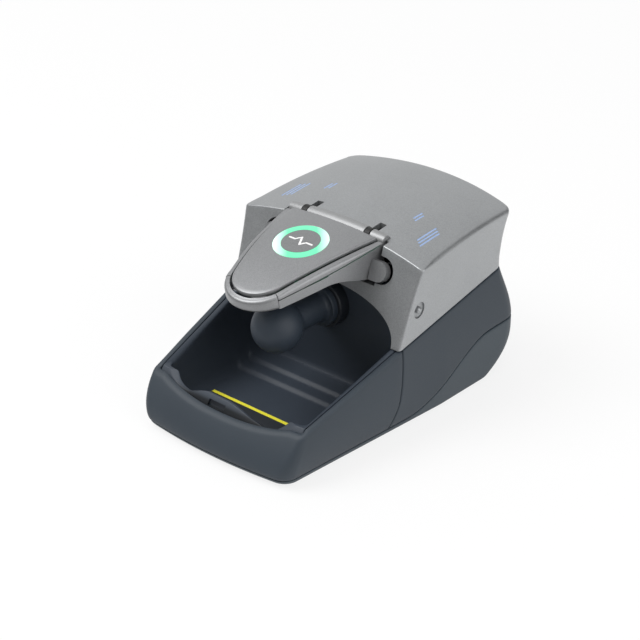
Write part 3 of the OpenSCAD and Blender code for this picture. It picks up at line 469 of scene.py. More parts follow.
def box_piece(low, high):
    corners = [(x, y, z) for x in (low[0], high[0]) for y in (low[1], high[1]) for z in (low[2], high[2])]
    faces = [(0, 1, 3, 2), (4, 6, 7, 5), (0, 4, 5, 1), (2, 3, 7, 6), (0, 2, 6, 4), (1, 5, 7, 3)]
    return corners, faces


def lathe(profile, place, steps=TURN_STEPS):
    """Solid of revolution. Profile holds (radius, reach) pairs and place turns (a, b, reach) to x, y, z."""
    turns = [2 * math.pi * i / steps for i in range(steps)]
    loops = [[place(r * math.cos(a), r * math.sin(a), reach) for r, reach in profile] for a in turns]
    n = len(profile)
    faces = [(k * n + i, k * n + i + 1, (k + 1) % steps * n + i + 1, (k + 1) % steps * n + i)
             for k in range(steps) for i in range(n - 1)]
    return chained(loops), faces


def drill(radius, high, x, y):
    """Upright hole that comes from below the object."""
    profile = [(0, BELOW_Z), (radius, BELOW_Z), (radius, high), (0, high)]
    return lathe(profile, lambda a, b, reach: (x + a, y + b, reach), HOLE_STEPS)


def joined(*solids):
    points, faces = [], []
    for some, its in solids:
        faces += [tuple(len(points) + i for i in face) for face in its]
        points += some
    return points, faces


def cut(piece, points, faces):
    """Takes a solid away from a piece."""
    cutter = new_mesh("cutter", points, faces, weld=1e-4)
    boolean = piece.modifiers.new("cut", "BOOLEAN")
    boolean.operation = "DIFFERENCE"
    boolean.solver = "MANIFOLD"
    boolean.object = cutter
    bpy.context.view_layer.objects.active = piece
    bpy.ops.object.modifier_apply(modifier=boolean.name)
    bpy.data.objects.remove(cutter)
    piece.data.shade_smooth()
    piece.data.set_sharp_from_angle(angle=SMOOTH_ANGLE)


print("cutters ready")

# %% [markdown]
# The pan closes the bottom. Its wall is the same kind of section, and each row crosses the floor from
# wall to wall, so wall and floor are one mesh. Screw wells, foot pockets and the inlet are cut last.

# %% Bottom pan
PAN_INSIDE_Z = 1.6
ACROSS = 9
POSTS = [(x * 24.0, y) for x in (-1, 1) for y in (9.0, 36.0)]
SCREW_WELL_R = 2.8
SCREW_WELL_Z = 20.0
FEET = [(x * px, y) for x in (-1, 1) for px, y in ((23.0, -46.0), (27.0, 22.5))]
FOOT_POCKET_R = 4.6
FOOT_SINK = 0.5
SOCKET = ((-4.75, 40.0, 11.75), (4.75, 70.0, 15.45))


def pan_loop(station):
    high = level(station, base_point, lambda x, y: pan_seam(y), 8)
    e = min(EDGE, (high - FOOT_H) / 3)
    section = [(FOOT_H, e)] + corner(FOOT_H + e, e, e, -1, -1, (ARC[2], ARC[1]))
    section += [(z, 0.0) for z in spread(14, FOOT_H + e, high - e)]
    section += corner(high - e, e, e, 1, -1, ARC[1:])
    section += [(high, WALL)] + [(z, WALL) for z in spread(6, high - e / 2, PAN_INSIDE_Z)]
    return [base_point(station, z, inset) for z, inset in section]


def bottom_pan():
    right = [pan_loop(s) for s in walk(front=20, front_corner=10, side=50, rear_corner=14, rear=20)]
    rows = []
    for loop in right:
        x0, y0, z0 = loop[0]
        x1, y1, z1 = loop[-1]
        under = [(x0 * t, y0, z0) for t in spread(ACROSS, -1, 1)[1:-1]]
        floor = [(x1 * t, y1, z1) for t in spread(ACROSS, 1, -1)[1:-1]]
        rows.append(mirrored(reversed(loop)) + under + loop + floor)
    print("pan", len(rows), "rows of", len(rows[0]), "points")
    return new_mesh("pan_moulding", chained(rows), sweep(rows)[:-2], weld=1e-3)


pan = bottom_pan()
for x, y in FEET:
    cut(pan, *drill(FOOT_POCKET_R, FOOT_H + FOOT_SINK, x, y))
for x, y in POSTS:
    cut(pan, *drill(SCREW_WELL_R, SCREW_WELL_Z, x, y))
cut(pan, *box_piece(*SOCKET))
dress(pan, "housing", "pan_plastic", "bottom_pan")

# %% [markdown]
# The tray is a loose cup that drops into the bezel. Its flange lies flush with the bezel's rim, with a
# thin dark line between them. In front the rim sinks and bares the tray's outer wall, which rises there
# to a tongue with a latch window. A cup is built as rows across: up one wall, over the flange and back.

# %% Tray
FLANGE_OUT = 2.3
FLANGE_IN = 4.1
FLANGE_ROUND = 0.8
TRAY_DEEP = 4.2
FRONT_EXTRA = -0.35
FRONT_GAP = 0.8
TRAY_CORNER = 1.4
TRAY_REAR_Y = 0.1
TRAY_REAR_DRAFT = 0.8
TRAY_REAR_CORNER = 2.0
FRONT_LIP_END = -40.0
TRAY_LOW_Z = 2.7
TRAY_FLOOR_Z = 3.9
TRAY_MID_Z = 10.0
TRAY_WALL_TOP = 1.2
FLANGE_EDGE = 0.2
FILLET = 2.0
LIP_DIP = (2.2, 3.2)
LIP_FALL = (13.0, 7.0)
LIP_POWER = 7
TONGUE_H = 1.6
TONGUE_LEFT = (-17.9, 9.6)
TONGUE_RIGHT = (-1.2, 18.0)
STEPS_Y = (-14.0, -8.2)
STEP_H = 1.1
STEP_RUN = 2.0
REAR_TUCK_UP = 0.9
REAR_TUCK_Y = -2.0
WINDOW = ((-6.8, -60.0, 13.5), (-0.1, -40.0, 15.2))


def tray_point(station, z, inset):
    beyond = max(inset - FLANGE_OUT, 0)
    return outline_point(
        station, z, lambda y: base_half(y, z) - inset,
        (base_front(z) + inset + FRONT_EXTRA * beyond + FRONT_GAP, FRONT_BOW - FRONT_GAP,
         LEAST_CORNER_R + TRAY_CORNER * beyond),
        (TRAY_REAR_Y - TRAY_REAR_DRAFT * beyond, 0, LEAST_CORNER_R + TRAY_REAR_CORNER))


def tray_top(x, y):
    """Flush with the rim, except in front, where the lip sinks less than the rim and has a tongue."""
    tongue = wave((x - TONGUE_LEFT[0]) / TONGUE_LEFT[1]) * (1 - wave((x - TONGUE_RIGHT[0]) / TONGUE_RIGHT[1]))
    dip = mix(*LIP_DIP, wave((x - LIP_FALL[0]) / LIP_FALL[1])) * rim_sag(x, LIP_POWER)
    lip = TONGUE_H * tongue - dip if y < FRONT_LIP_END else 0
    return joint_z(max(y, RIM_CORNER_Y)) - PARTING + lip + REAR_TUCK_UP * wave(y - REAR_TUCK_Y)


def tray_floor(y):
    return TRAY_FLOOR_Z + sum(STEP_H * wave((y - step) / STEP_RUN + 0.5) for step in STEPS_Y)


def tray_loop(station, hand):
    def at(s, z, inset=FLANGE_OUT):
        x, y, z = tray_point(s, z, inset)
        return hand * x, y, z
    top = level(station, at, tray_top, 16)
    floor = tray_floor(at(station, TRAY_MID_Z, TRAY_DEEP)[1])
    section = [(z, FLANGE_OUT) for z in spread(10, TRAY_LOW_Z, top - FLANGE_EDGE)]
    section += [(top - 0.3 * FLANGE_EDGE, FLANGE_OUT + 0.3 * FLANGE_EDGE), (top, FLANGE_OUT + FLANGE_EDGE)]
    r = FLANGE_ROUND
    section += corner(top - r, FLANGE_IN - r, r, 1, 1, spread(6, math.pi / 2, 0))
    section += [(z, TRAY_DEEP) for z in spread(9, top - TRAY_WALL_TOP, floor + FILLET)]
    section += corner(floor + FILLET, TRAY_DEEP + FILLET, FILLET, -1, -1, ARC[1:])
    return [at(station, z, inset) for z, inset in section]


def between(p, q, count=ACROSS):
    """Points on the straight line from p to q."""
    return [tuple(mix(a, b, t) for a, b in zip(p, q)) for t in spread(count)]


def tray():
    """Closed cup of rows across. The last row ends in a flat wall."""
    stations = walk(front=60, front_corner=12, side=100, rear_corner=8)
    pairs = [(tray_loop(s, -1), tray_loop(s, 1)) for s in stations]
    rows = []
    for left, right in pairs:
        under = between(left[0], right[0])[1:-1]
        floor = between(right[-1], left[-1])[1:-1]
        rows.append(list(reversed(left)) + under + right + floor)
    wall = [between(p, q) for p, q in zip(*pairs[-1])]
    shell = chained(rows), sweep(rows)[:-2]
    return new_mesh("tray_moulding", *joined(shell, (chained(wall), sheet(len(wall), ACROSS))), weld=1e-3)


tray_cup = tray()
cut(tray_cup, *box_piece(*WINDOW))
dress(tray_cup, "housing", "liner_plastic", "tray_liner")

# %% [markdown]
# ## Hood
#
# The hood is a thin painted shell. One line is drawn for each station round its outline: from the
# middle of the ceiling down the inner wall, round the lower edge, up the outer wall, over a soft fold
# and along the crowned roof to its middle. All the lines together are the shell.

# %% Hood
FOLD = {"front": 0.3, "front_corner": 0.7, "side": 1.5, "rear_corner": 1.3, "rear": 1.1}
FOLD_FADE = 8
SPINE = (14.0, 36.0)
CEILING_DROP = 0.4


def bezier(a, b, c, count):
    return [tuple(mix(mix(p, q, t), mix(q, r, t), t) for p, q, r in zip(a, b, c)) for t in spread(count)]


def on_roof(point, inset=0.0):
    return point[0], point[1], roof_z(point[0], point[1], inset)


def hood_line(station):
    low = level(station, cover_point, lambda x, y: joint_z(y) + PARTING, 32)
    high = level(station, cover_point, roof_z, 56)
    fold = FOLD[station[0]]
    if station[0] == "side":
        fold = mix(FOLD["front_corner"], fold, wave(station[1] * FOLD_FADE))
    crest = cover_point(station, high)
    shoulder = on_roof(cover_point(station, high, fold))
    spine = (0.0, max(SPINE[0], min(SPINE[1], shoulder[1])))
    beam = on_roof(cover_point(station, high - WALL, WALL), WALL)
    line = [on_roof((mix(0, beam[0], t), mix(spine[1], beam[1], t)), WALL) for t in spread(8)]
    line += [cover_point(station, z, WALL) for z in spread(6, beam[2] - CEILING_DROP, low + EDGE)]
    line += [cover_point(station, low, WALL - EDGE)]
    line += [cover_point(station, *pair) for pair in corner(low + EDGE, EDGE, EDGE, -1, -1, reversed(ARC))]
    line += [cover_point(station, z) for z in spread(26, low + EDGE, high - fold)[1:-1]]
    line += bezier(cover_point(station, high - fold), crest, shoulder, 7)
    line += [on_roof((mix(shoulder[0], 0, t), mix(shoulder[1], spine[1], t))) for t in spread(20)[1:]]
    return line


def hood():
    right = [hood_line(s) for s in walk(front=40, front_corner=6, side=60, rear_corner=14, rear=24)]
    lines = right + [mirrored(line) for line in reversed(right)]
    return new_mesh("hood_moulding", chained(lines), sheet(len(lines), len(right[0])), weld=1e-3)


hood_shell = hood()
print("hood", len(hood_shell.data.vertices), "points")

# %% [markdown]
# The openings of the hood are cut last: the arch over the finger, the mouth that the arm lies in with
# its two ear recesses, the trough and slots of the hinge, a dimple on each side and the light slits.

# %% Openings of the hood
ARCH_W = 62.6
ARCH_TOP_Z = 42.6
ARCH_POWER = 2.3
ARCH_FOOT_Z = TIP_Z - 8
ARCH_Y = (-30.0, -1.8)
CHAMBER_Y = -1.5
FAR_FRONT_Y = -60.0
FAR_TOP_Z = 90.0
MOUTH_HALF = 20.2
SILL_Z = 45.4
HINGE_Y = 2.6
HINGE_Z = 57.6
BARREL_R = 2.9
BARREL_HALF = 19.1
BEAD_GAP = 0.15
EAR = {"x": 18.6, "w": 6.2, "h": 6.4, "z": 50.4, "fit": 1.1, "reach": (-4.0, 12.0)}
LUG_X = 12.7
LUG_SLOT = 2.5
SLOT_Y = (HINGE_Y - 1, 9.0)
SLOT_LOW_Z = 48.0
DIMPLE = {"y": -0.4, "z": 40.6, "r": 2.7, "deep": 1.0, "pin_r": 1.15, "out": 3.0}
DIMPLE_FILLET = ((0.3, 0.0), (0.08, 0.12), (0.0, 0.35))
BAR_W = 0.7
BAR_GAP = 1.2
BAR_SLANT = 0.8
BAR_Z = (52.0, 66.0)
BARS = ((25.8, 9.0, 9.4, 3), (17.4, 17.6, 4.4, 2))


def arch_cutter():
    half = ARCH_W / 2
    outline = [(half, ARCH_FOOT_Z)]
    for a in spread(72, 0, math.pi):
        c, s = math.cos(a), max(math.sin(a), 0)
        x = math.copysign(half * abs(c) ** (2 / ARCH_POWER), c)
        outline.append((x, TIP_Z + (ARCH_TOP_Z - TIP_Z) * s ** (2 / ARCH_POWER)))
    outline.append((-half, ARCH_FOOT_Z))
    return swept([[(x, y, z) for x, z in outline] for y in ARCH_Y])


def on_fascia(x, up, out):
    """Point on the leaning fascia: across, up along it from the ear's middle, and out of it."""
    c, s = math.cos(FASCIA_LEAN), math.sin(FASCIA_LEAN)
    return x, fascia_y(EAR["z"]) + up * s - out * c, EAR["z"] + up * c + out * s


def ear_cutter(hand):
    grow = EAR["fit"]
    r = EAR["h"] / 2 + grow
    middle = EAR["x"] + EAR["w"] - EAR["h"] / 2
    outline = [(EAR["x"] - grow, r), (EAR["x"] - grow, -r)]
    outline += [(middle + r * math.sin(a), -r * math.cos(a)) for a in spread(25, 0, math.pi)]
    return swept([[on_fascia(hand * x, up, out) for x, up in outline] for out in EAR["reach"]])


def barrel_radius(x):
    return BARREL_R - CROWN_R + math.sqrt(CROWN_R ** 2 - x * x)


def barrel_lathe(grow):
    reach = BARREL_HALF + grow
    profile = [(0, -reach)] + [(barrel_radius(x) + grow, x) for x in spread(25, -reach, reach)] + [(0, reach)]
    return lathe(profile, lambda a, b, x: (x, HINGE_Y + a, HINGE_Z + b))


def dimple_cutter(hand):
    face = cover_half(DIMPLE["y"], DIMPLE["z"])
    deep = face - DIMPLE["deep"]
    back = face - 2 * WALL
    out = face + DIMPLE["out"]
    profile = [(0, back), (DIMPLE["pin_r"], back), (DIMPLE["pin_r"], deep)]
    profile += [(DIMPLE["r"] - less, deep + up) for less, up in DIMPLE_FILLET]
    profile += [(DIMPLE["r"], out), (0, out)]
    return lathe(profile, lambda a, b, reach: (hand * reach, DIMPLE["y"] + a, DIMPLE["z"] + b), HOLE_STEPS)


def bar_boxes(hand):
    boxes = []
    for x, y, length, count in BARS:
        for i in range(count):
            low = x + BAR_GAP * i - BAR_W / 2
            start = y - BAR_SLANT * i
            sides = sorted((hand * low, hand * (low + BAR_W)))
            boxes.append(((sides[0], start, BAR_Z[0]), (sides[1], start + length, BAR_Z[1])))
    return boxes


cut(hood_shell, *arch_cutter())
cut(hood_shell, *box_piece((-MOUTH_HALF, FAR_FRONT_Y, SILL_Z), (MOUTH_HALF, HINGE_Y, FAR_TOP_Z)))
cut(hood_shell, *barrel_lathe(BEAD_GAP))
for hand in (-1, 1):
    cut(hood_shell, *ear_cutter(hand))
    slot_x = [hand * LUG_X + side * LUG_SLOT / 2 for side in (-1, 1)]
    cut(hood_shell, *box_piece((slot_x[0], SLOT_Y[0], SLOT_LOW_Z), (slot_x[1], SLOT_Y[1], FAR_TOP_Z)))
    cut(hood_shell, *dimple_cutter(hand))
    for box in bar_boxes(hand):
        cut(hood_shell, *box_piece(*box))
dress(hood_shell, "housing", "cover_paint", "top_cover")

# %% [markdown]
# ## Arm
#
# The arm is drawn level, with its hinge line at the origin, and tilted into place point by point. Its
# top plate is one shallow dome with a hole for the light ring, so its rows run from hole to edge.

# %% Top plate of the arm
ARM_TILT = math.radians(10.2)
ARM_LEN = 44.1
PLATE_W = 33.8
NOSE_R = 9.3
NOSE_TURN = math.radians(14)
NOSE_Y = -ARM_LEN + NOSE_R
ARM_SWELL = 0.7
HINGE_END_X = 19.5
BARREL_ROOM = 0.3
ARM_BACK = -(BARREL_R - HINGE_END_X ** 2 / (2 * CROWN_R)) - BARREL_ROOM
DOME_R = 140.0
DOME_RISE = 3.6
BUTTON_REACH = 17.2
RING_R = 8.7
PLATE_T = 1.2
PLATE_ROUND = (0.1, 0.34)
HOLE_GAP = (0.05, 0.2)
HOLE_EDGE = 0.15
PLATE_REAR_Y = -4.0
PLATE_REAR_EDGE = 0.4
RIM_W = 2.6
RIM_GAP = 0.75
RIM_DROP = 0.9


def in_arm(x, y, z):
    c, s = math.cos(ARM_TILT), math.sin(ARM_TILT)
    return x, HINGE_Y + y * c - z * s, HINGE_Z + y * s + z * c


def dome(x, y):
    return DOME_RISE - DOME_R + math.sqrt(DOME_R ** 2 - x * x - (y + BUTTON_REACH) ** 2)


def arm_side(t, grow):
    x = mix(PLATE_W / 2, NOSE_R * math.cos(NOSE_TURN), t) + ARM_SWELL * 4 * t * (1 - t) + grow
    return x, mix(ARM_BACK, NOSE_Y - NOSE_R * math.sin(NOSE_TURN), t)


def arm_run(grow):
    """Outline of the arm from its right rear corner round the nose to its left rear corner."""
    side = [arm_side(t, grow) for t in spread(36)]
    turns = spread(48, -NOSE_TURN, NOSE_TURN - math.pi)[1:-1]
    nose = [((NOSE_R + grow) * math.cos(a), NOSE_Y + (NOSE_R + grow) * math.sin(a)) for a in turns]
    return side + nose + [(-x, y) for x, y in reversed(side)]


def arm_ring(grow):
    """The whole outline, with the straight rear edge."""
    run = arm_run(grow)
    back = [(mix(run[-1][0], run[0][0], t), run[0][1] + grow) for t in spread(40)[1:-1]]
    return [(x, y + grow) if y > ARM_BACK - 0.01 else (x, y) for x, y in run] + back


def plate_section(k, outlines):
    x, y = outlines[0][k]
    a = math.atan2(y + BUTTON_REACH, x)
    hole = [(r * math.cos(a), -BUTTON_REACH + r * math.sin(a)) for r in (RING_R + gap for gap in HOLE_GAP)]
    bottom = dome(x, y) - PLATE_T
    room = (barrel_radius(x) + BARREL_ROOM) ** 2 - bottom ** 2 if abs(x) < BARREL_HALF else 0
    low_y = min(y, -math.sqrt(room)) if room > 0 and y > PLATE_REAR_Y else y
    section = [(*hole[0], dome(*hole[0]) - PLATE_T), (*hole[0], dome(*hole[0]) - HOLE_EDGE)]
    section += [(*p, dome(*p)) for p in between(hole[1], outlines[2][k], 14)]
    section.append((*outlines[1][k], dome(*outlines[1][k]) - PLATE_ROUND[0]))
    section.append((x, y, dome(x, y) - PLATE_ROUND[1]))
    section += [(x, mix(y, low_y, 0.5), bottom + PLATE_REAR_EDGE), (x, low_y, bottom)]
    return [in_arm(*p) for p in section]


def arm_plate():
    outlines = [arm_ring(-inset) for inset in (0.0, *PLATE_ROUND)]
    loops = [plate_section(k, outlines) for k in range(len(outlines[0]))]
    return new_mesh("plate_moulding", *swept(loops, closed=True))


dress(arm_plate(), "arm", "arm_paint", "arm_top_plate")

# %% [markdown]
# The upper shell of the arm shows as a rim round the plate. It is a rounded bar that follows the same
# outline from one hinge corner round the nose to the other, and reaches down to the shells' seam.

# %% Rim of the arm
SEAM_NOSE_Y = -ARM_LEN + 4
NOSE_SEAM = 0.2
SPLIT = (0.4, -1.0)
NOSE_DEPTH = 4.0
RIM_ROUND = 1.1
RIM_INNER = ((0.0, 0.9), (0.0, 0.12), (0.07, 0.0))
RIM_FALL = 0.7
ROUND_MOST = 0.7
SPLIT_GAP = 0.2
SPLIT_ROUND = 0.12
NOSE_ROUND = 0.9


def split_z(y):
    return mix(*SPLIT, limit((y - ARM_BACK) / (SEAM_NOSE_Y - ARM_BACK)))


def rim_section(inner, outer, deep):
    """Section between a point of the rim's inner edge and the point of its outer edge beside it."""
    def at(share, z):
        return tuple(mix(p, q, share) for p, q in zip(inner, outer)) + (z,)
    width = RIM_W - RIM_GAP
    top = dome(*inner) - RIM_DROP
    edge = dome(*outer) - RIM_DROP
    low = -NOSE_DEPTH if deep else split_z(inner[1]) + SPLIT_GAP
    soft = min(RIM_ROUND, (edge - low) * ROUND_MOST)
    section = [at(share, top - drop) for share, drop in RIM_INNER]
    brow = mix(top, edge, RIM_FALL)
    section += [at(1 - soft / width * (1 - math.sin(a)), brow - soft * (1 - math.cos(a)))
                for a in spread(7, 0, math.pi / 2)]
    turn = NOSE_ROUND if deep else SPLIT_ROUND
    section += [at(1, z) for z in spread(4, edge - soft, low + turn)[1:]]
    section += [at(1 - turn / width * (1 - math.cos(a)), low + turn * (1 - math.sin(a))) for a in ARC[1:]]
    section += [at(0, low)]
    return [in_arm(*p) for p in section]


def crossing(before, after, y):
    """Inner and outer point where the rim passes y, between two of its stations."""
    t = (y - before[1][1]) / (after[1][1] - before[1][1])
    return [tuple(mix(a, b, t) for a, b in zip(p, q)) for p, q in zip(before, after)]


def arm_rim():
    pairs = list(zip(arm_run(RIM_GAP), arm_run(RIM_W)))
    first = next(k for k, pair in enumerate(pairs) if pair[1][1] < SEAM_NOSE_Y)
    last = len(pairs) - first
    ends = [crossing(pairs[first - 1], pairs[first], SEAM_NOSE_Y + way * NOSE_SEAM / 2) for way in (1, -1)]
    far_ends = [[(-x, y) for x, y in pair] for pair in ends]
    runs = [(pairs[:first] + ends[:1], False), (ends[1:] + pairs[first:last] + far_ends[1:], True),
            (far_ends[:1] + pairs[last:], False)]
    parts = [swept([rim_section(*pair, deep) for pair in run]) for run, deep in runs]
    return new_mesh("rim_moulding", *joined(*parts))


dress(arm_rim(), "arm", "arm_paint", "arm_upper_shell")

# %% [markdown]
# The light guide under the button reaches the seam between the two shells. Its edge glows there, a
# little back from the outside, brightest near the hinge.

# %% Edge of the light guide
GUIDE_BACK = 0.5
GUIDE_DEEP = 1.4
GUIDE_LAP = (0.1, 0.15)
GUIDE_STATIONS = (1, 27)


def guide_loop(outer, inner, hand):
    low = split_z(outer[1]) - GUIDE_LAP[0]
    high = split_z(outer[1]) + SPLIT_GAP + GUIDE_LAP[1]
    corners = [(*outer, low), (*outer, high), (*inner, high), (*inner, low)]
    return [in_arm(hand * x, y, z) for x, y, z in corners]


def guide_edge():
    pairs = list(zip(arm_run(RIM_W - GUIDE_BACK), arm_run(RIM_W - GUIDE_DEEP)))[slice(*GUIDE_STATIONS)]
    sides = [swept([guide_loop(outer, inner, hand) for outer, inner in pairs]) for hand in (-1, 1)]
    return new_mesh("guide_edge", *joined(*sides))


dress(guide_edge(), "arm", "green_light", look="guide_light")

# %% [markdown]
# ## Finger
#
# The finger is turned: a rubber ball on a neck that flares where it meets its boss. A profile turned
# about the finger's line gives the soft fillets that the crossing of a ball and a tube cannot.

# %% Rubber finger and its boss
BALL_R = 8.1
BALL_Y = -25.9
FINGER_Z = 32.9
NECK_R = 4.8
COLLAR_R = 6.8
BOSS_R = 8.0
FINGER_FIT = 0.05
BOSS_REAR = CHAMBER_Y - FINGER_FIT
COLLAR_T = 2.0
BALL_FILLET = 2.0
FLARE_R = 1.2
COLLAR_EDGE = 0.4
BOSS_EDGE = 0.6
BOSS_T = 3.9
BOSS_FRONT = BOSS_REAR - BOSS_T
COLLAR_REAR = BOSS_FRONT - FINGER_FIT
FINGER_STEPS = 96


def along_finger(a, b, reach):
    return a, reach, FINGER_Z + b


def arc_profile(middle, radius, first, last, count):
    turns = spread(count, first, last)
    return [(middle[0] + radius * math.cos(a), middle[1] + radius * math.sin(a)) for a in turns]


def finger():
    run_out = math.acos((NECK_R + BALL_FILLET) / (BALL_R + BALL_FILLET))
    meet = BALL_Y + (BALL_R + BALL_FILLET) * math.sin(run_out)
    profile = arc_profile((0, BALL_Y), BALL_R, -math.pi / 2, run_out, 40)
    profile += arc_profile((NECK_R + BALL_FILLET, meet), BALL_FILLET, math.pi + run_out, math.pi, 8)[1:]
    flare = COLLAR_REAR - COLLAR_T
    profile += [(NECK_R, y) for y in spread(6, meet, flare - FLARE_R)[1:]]
    profile += arc_profile((NECK_R + FLARE_R, flare - FLARE_R), FLARE_R, math.pi, math.pi / 2, 6)[1:]
    profile += arc_profile((COLLAR_R - COLLAR_EDGE, flare + COLLAR_EDGE), COLLAR_EDGE, -math.pi / 2, 0, 5)
    profile += [(COLLAR_R, COLLAR_REAR), (0, COLLAR_REAR)]
    return new_mesh("finger_sleeve", *lathe(profile, along_finger, FINGER_STEPS), weld=1e-3)


def boss():
    edge = arc_profile((BOSS_R - BOSS_EDGE, BOSS_FRONT + BOSS_EDGE), BOSS_EDGE, -math.pi / 2, 0, 6)
    profile = [(0, BOSS_FRONT)] + edge + [(BOSS_R, BOSS_REAR), (0, BOSS_REAR)]
    return new_mesh("finger_seat", *lathe(profile, along_finger, FINGER_STEPS), weld=1e-3)


dress(finger(), "housing", "finger_rubber", "rubber_finger")
dress(boss(), "housing", "black_plastic", "finger_boss")

# %% [markdown]
# ## Finishes
#
# A plain colour looks like a toy. Each finish here has its own grain, worked out from the surface's
# place in the object, so it needs no picture. Shader sums are written as Python sums: the class below
# wraps a node's output, and each operator adds one Math node.

# %% Shader sums
class Wire:
    """An output socket that plain arithmetic can be done on."""

    def __init__(self, tree, socket=None):
        self.tree = tree
        self.socket = socket

    def node(self, kind, settings=None, sockets=None, out=0):
        """Any node: its settings first, then the values or links of its sockets."""
        made = self.tree.nodes.new("ShaderNode" + kind)
        for name, value in (settings or {}).items():
            setattr(made, name, value)
        for name, value in (sockets or {}).items():
            if isinstance(value, Wire):
                self.tree.links.new(value.socket, made.inputs[name])
            else:
                made.inputs[name].default_value = value
        return Wire(self.tree, made.outputs[out])

    def maths(self, operation, a, b=0.0):
        return self.node("Math", {"operation": operation}, {0: a, 1: b})

    def __add__(self, other):
        return self.maths("ADD", self, other)

    def __radd__(self, other):
        return self.maths("ADD", other, self)

    def __sub__(self, other):
        return self.maths("SUBTRACT", self, other)

    def __rsub__(self, other):
        return self.maths("SUBTRACT", other, self)

    def __mul__(self, other):
        return self.maths("MULTIPLY", self, other)

    def __rmul__(self, other):
        return self.maths("MULTIPLY", other, self)

    def __truediv__(self, other):
        return self.maths("DIVIDE", self, other)

    def __rtruediv__(self, other):
        return self.maths("DIVIDE", other, self)

    def __lt__(self, other):
        return self.maths("LESS_THAN", self, other)

    def clamp(self):
        return self.node("Clamp", {}, {"Value": self})

    def share(self, first, last):
        """0 at the first value, 1 at the last, and even in between."""
        return ((self - first) / (last - first)).clamp()

    def axis(self, which):
        return self.node("SeparateXYZ", {}, {"Vector": self}, out=which)

    def noise(self, scale, detail=2.0, rough=0.5):
        sockets = {"Vector": self, "Scale": scale, "Detail": detail, "Roughness": rough}
        return self.node("TexNoise", {}, sockets)

    def between(self, low, high):
        """Colour between two colours, by this share."""
        return self.node("Mix", {"data_type": "RGBA"}, {0: self, 6: low, 7: high}, out=2)

    def bump(self, strength, distance):
        return self.node("Bump", {}, {"Height": self, "Strength": strength, "Distance": distance})


def grey(*parts):
    """Colour from one grey or from red, green and blue, with full cover."""
    return (*(parts * 3 if len(parts) == 1 else parts), 1.0)


FINISHES = {}


def finish(name, build, **constants):
    """Makes a material: build gives the sockets that vary, and the constant ones are given by name."""
    material = bpy.data.materials.new(name)
    material.use_nodes = True
    shader = material.node_tree.nodes["Principled BSDF"]
    for socket, value in constants.items():
        shader.inputs[socket.replace("_", " ")].default_value = value
    start = Wire(material.node_tree)
    place = start.node("TexCoord", out="Object")
    for socket, wire in build(place).items():
        material.node_tree.links.new(wire.socket, shader.inputs[socket])
    FINISHES[name] = material


print("shader sums ready")

# %% [markdown]
# The hood and the arm are sprayed with a silver paint: clear lacquer over tiny metal flakes. Each
# flake is a cell of a Voronoi texture with its own grey, and a slow ripple stands for the sprayed skin.

# %% Metallic paint
FLAKE_SCALE = 5200
PEEL_SCALE = 420


def metallic_paint(name, dark, light, metal, rough, coat):
    def build(place):
        flake = place.node("TexVoronoi", {}, {"Vector": place, "Scale": FLAKE_SCALE}, out="Color")
        spark = flake.node("SeparateColor", {}, {"Color": flake}, out=0)
        cloud = place.noise(60, 3)
        peel = place.noise(PEEL_SCALE, 1)
        return {
            "Base Color": (spark * 0.6 + cloud * 0.4).between(dark, light),
            "Roughness": rough + (spark - 0.5) * 0.12 + (cloud - 0.5) * 0.06,
            "Normal": (peel + spark * 0.35).bump(0.12, 0.00004)}
    finish(name, build, Metallic=metal, Coat_Weight=coat, Coat_Roughness=0.22)


metallic_paint("cover_paint", grey(0.282, 0.292, 0.3), grey(0.44, 0.452, 0.462), 0.75, 0.42, 0.15)
metallic_paint("arm_paint", grey(0.238, 0.243, 0.25), grey(0.352, 0.358, 0.367), 0.7, 0.42, 0.15)
metallic_paint("button_paint", grey(0.2, 0.205, 0.21), grey(0.3, 0.305, 0.31), 0.65, 0.4, 0.2)
metallic_paint("bead_paint", grey(0.28, 0.285, 0.29), grey(0.4, 0.405, 0.41), 0.7, 0.5, 0.05)
# Near-black steel for the lugs of the hinge, darker than the bead beside them.
metallic_paint("near_black_steel", grey(0.02), grey(0.04), 0.6, 0.5, 0.0)
print("metallic paints made")

# %% [markdown]
# The base is moulded in a steel with a spark-eroded grain: fine pits that make the plastic satin. The
# tray inside is smoother and shines less, and shade is painted near black onto the outside of its front
# wall, where it lies in the gap under the bezel's rim. The rubber of the finger and the feet has the same
# kind of grain.

# %% Moulded plastics and rubber
FRONT_FACE_Y = (-48.0, -49.5)
FRONT_FACE_Z = (15.9, 14.7)
# Painted shade: near black, put on the outside of the tray's front wall for the shade it lies in under the
# bezel's rim.
FRONT_PAINTED_SHADE = grey(0.004, 0.006, 0.009)


def front_wall_shade(place):
    """1 on the outside of the tray's front wall, where shade is painted near black, and 0 on the rest of the
    tray.
    """
    return (place.axis(1) / MM).share(*FRONT_FACE_Y) * (place.axis(2) / MM).share(*FRONT_FACE_Z)


def moulded(name, dark, light, rough, grain_scale, grain, painted_shade=None, shine=0.5):
    def build(place):
        pits = place.noise(grain_scale, 4, 0.6)
        cloud = place.noise(45, 3)
        colour = (pits * 0.5 + cloud * 0.5).between(dark, light)
        return {
            # Where the mask is 1, the colour is painted near black as shade.
            "Base Color": painted_shade(place).between(colour, FRONT_PAINTED_SHADE) if painted_shade else colour,
            "Roughness": rough + (pits - 0.5) * 0.25 + (cloud - 0.5) * 0.08,
            "Normal": pits.bump(grain, 0.00006)}
    finish(name, build, Specular_IOR_Level=shine)


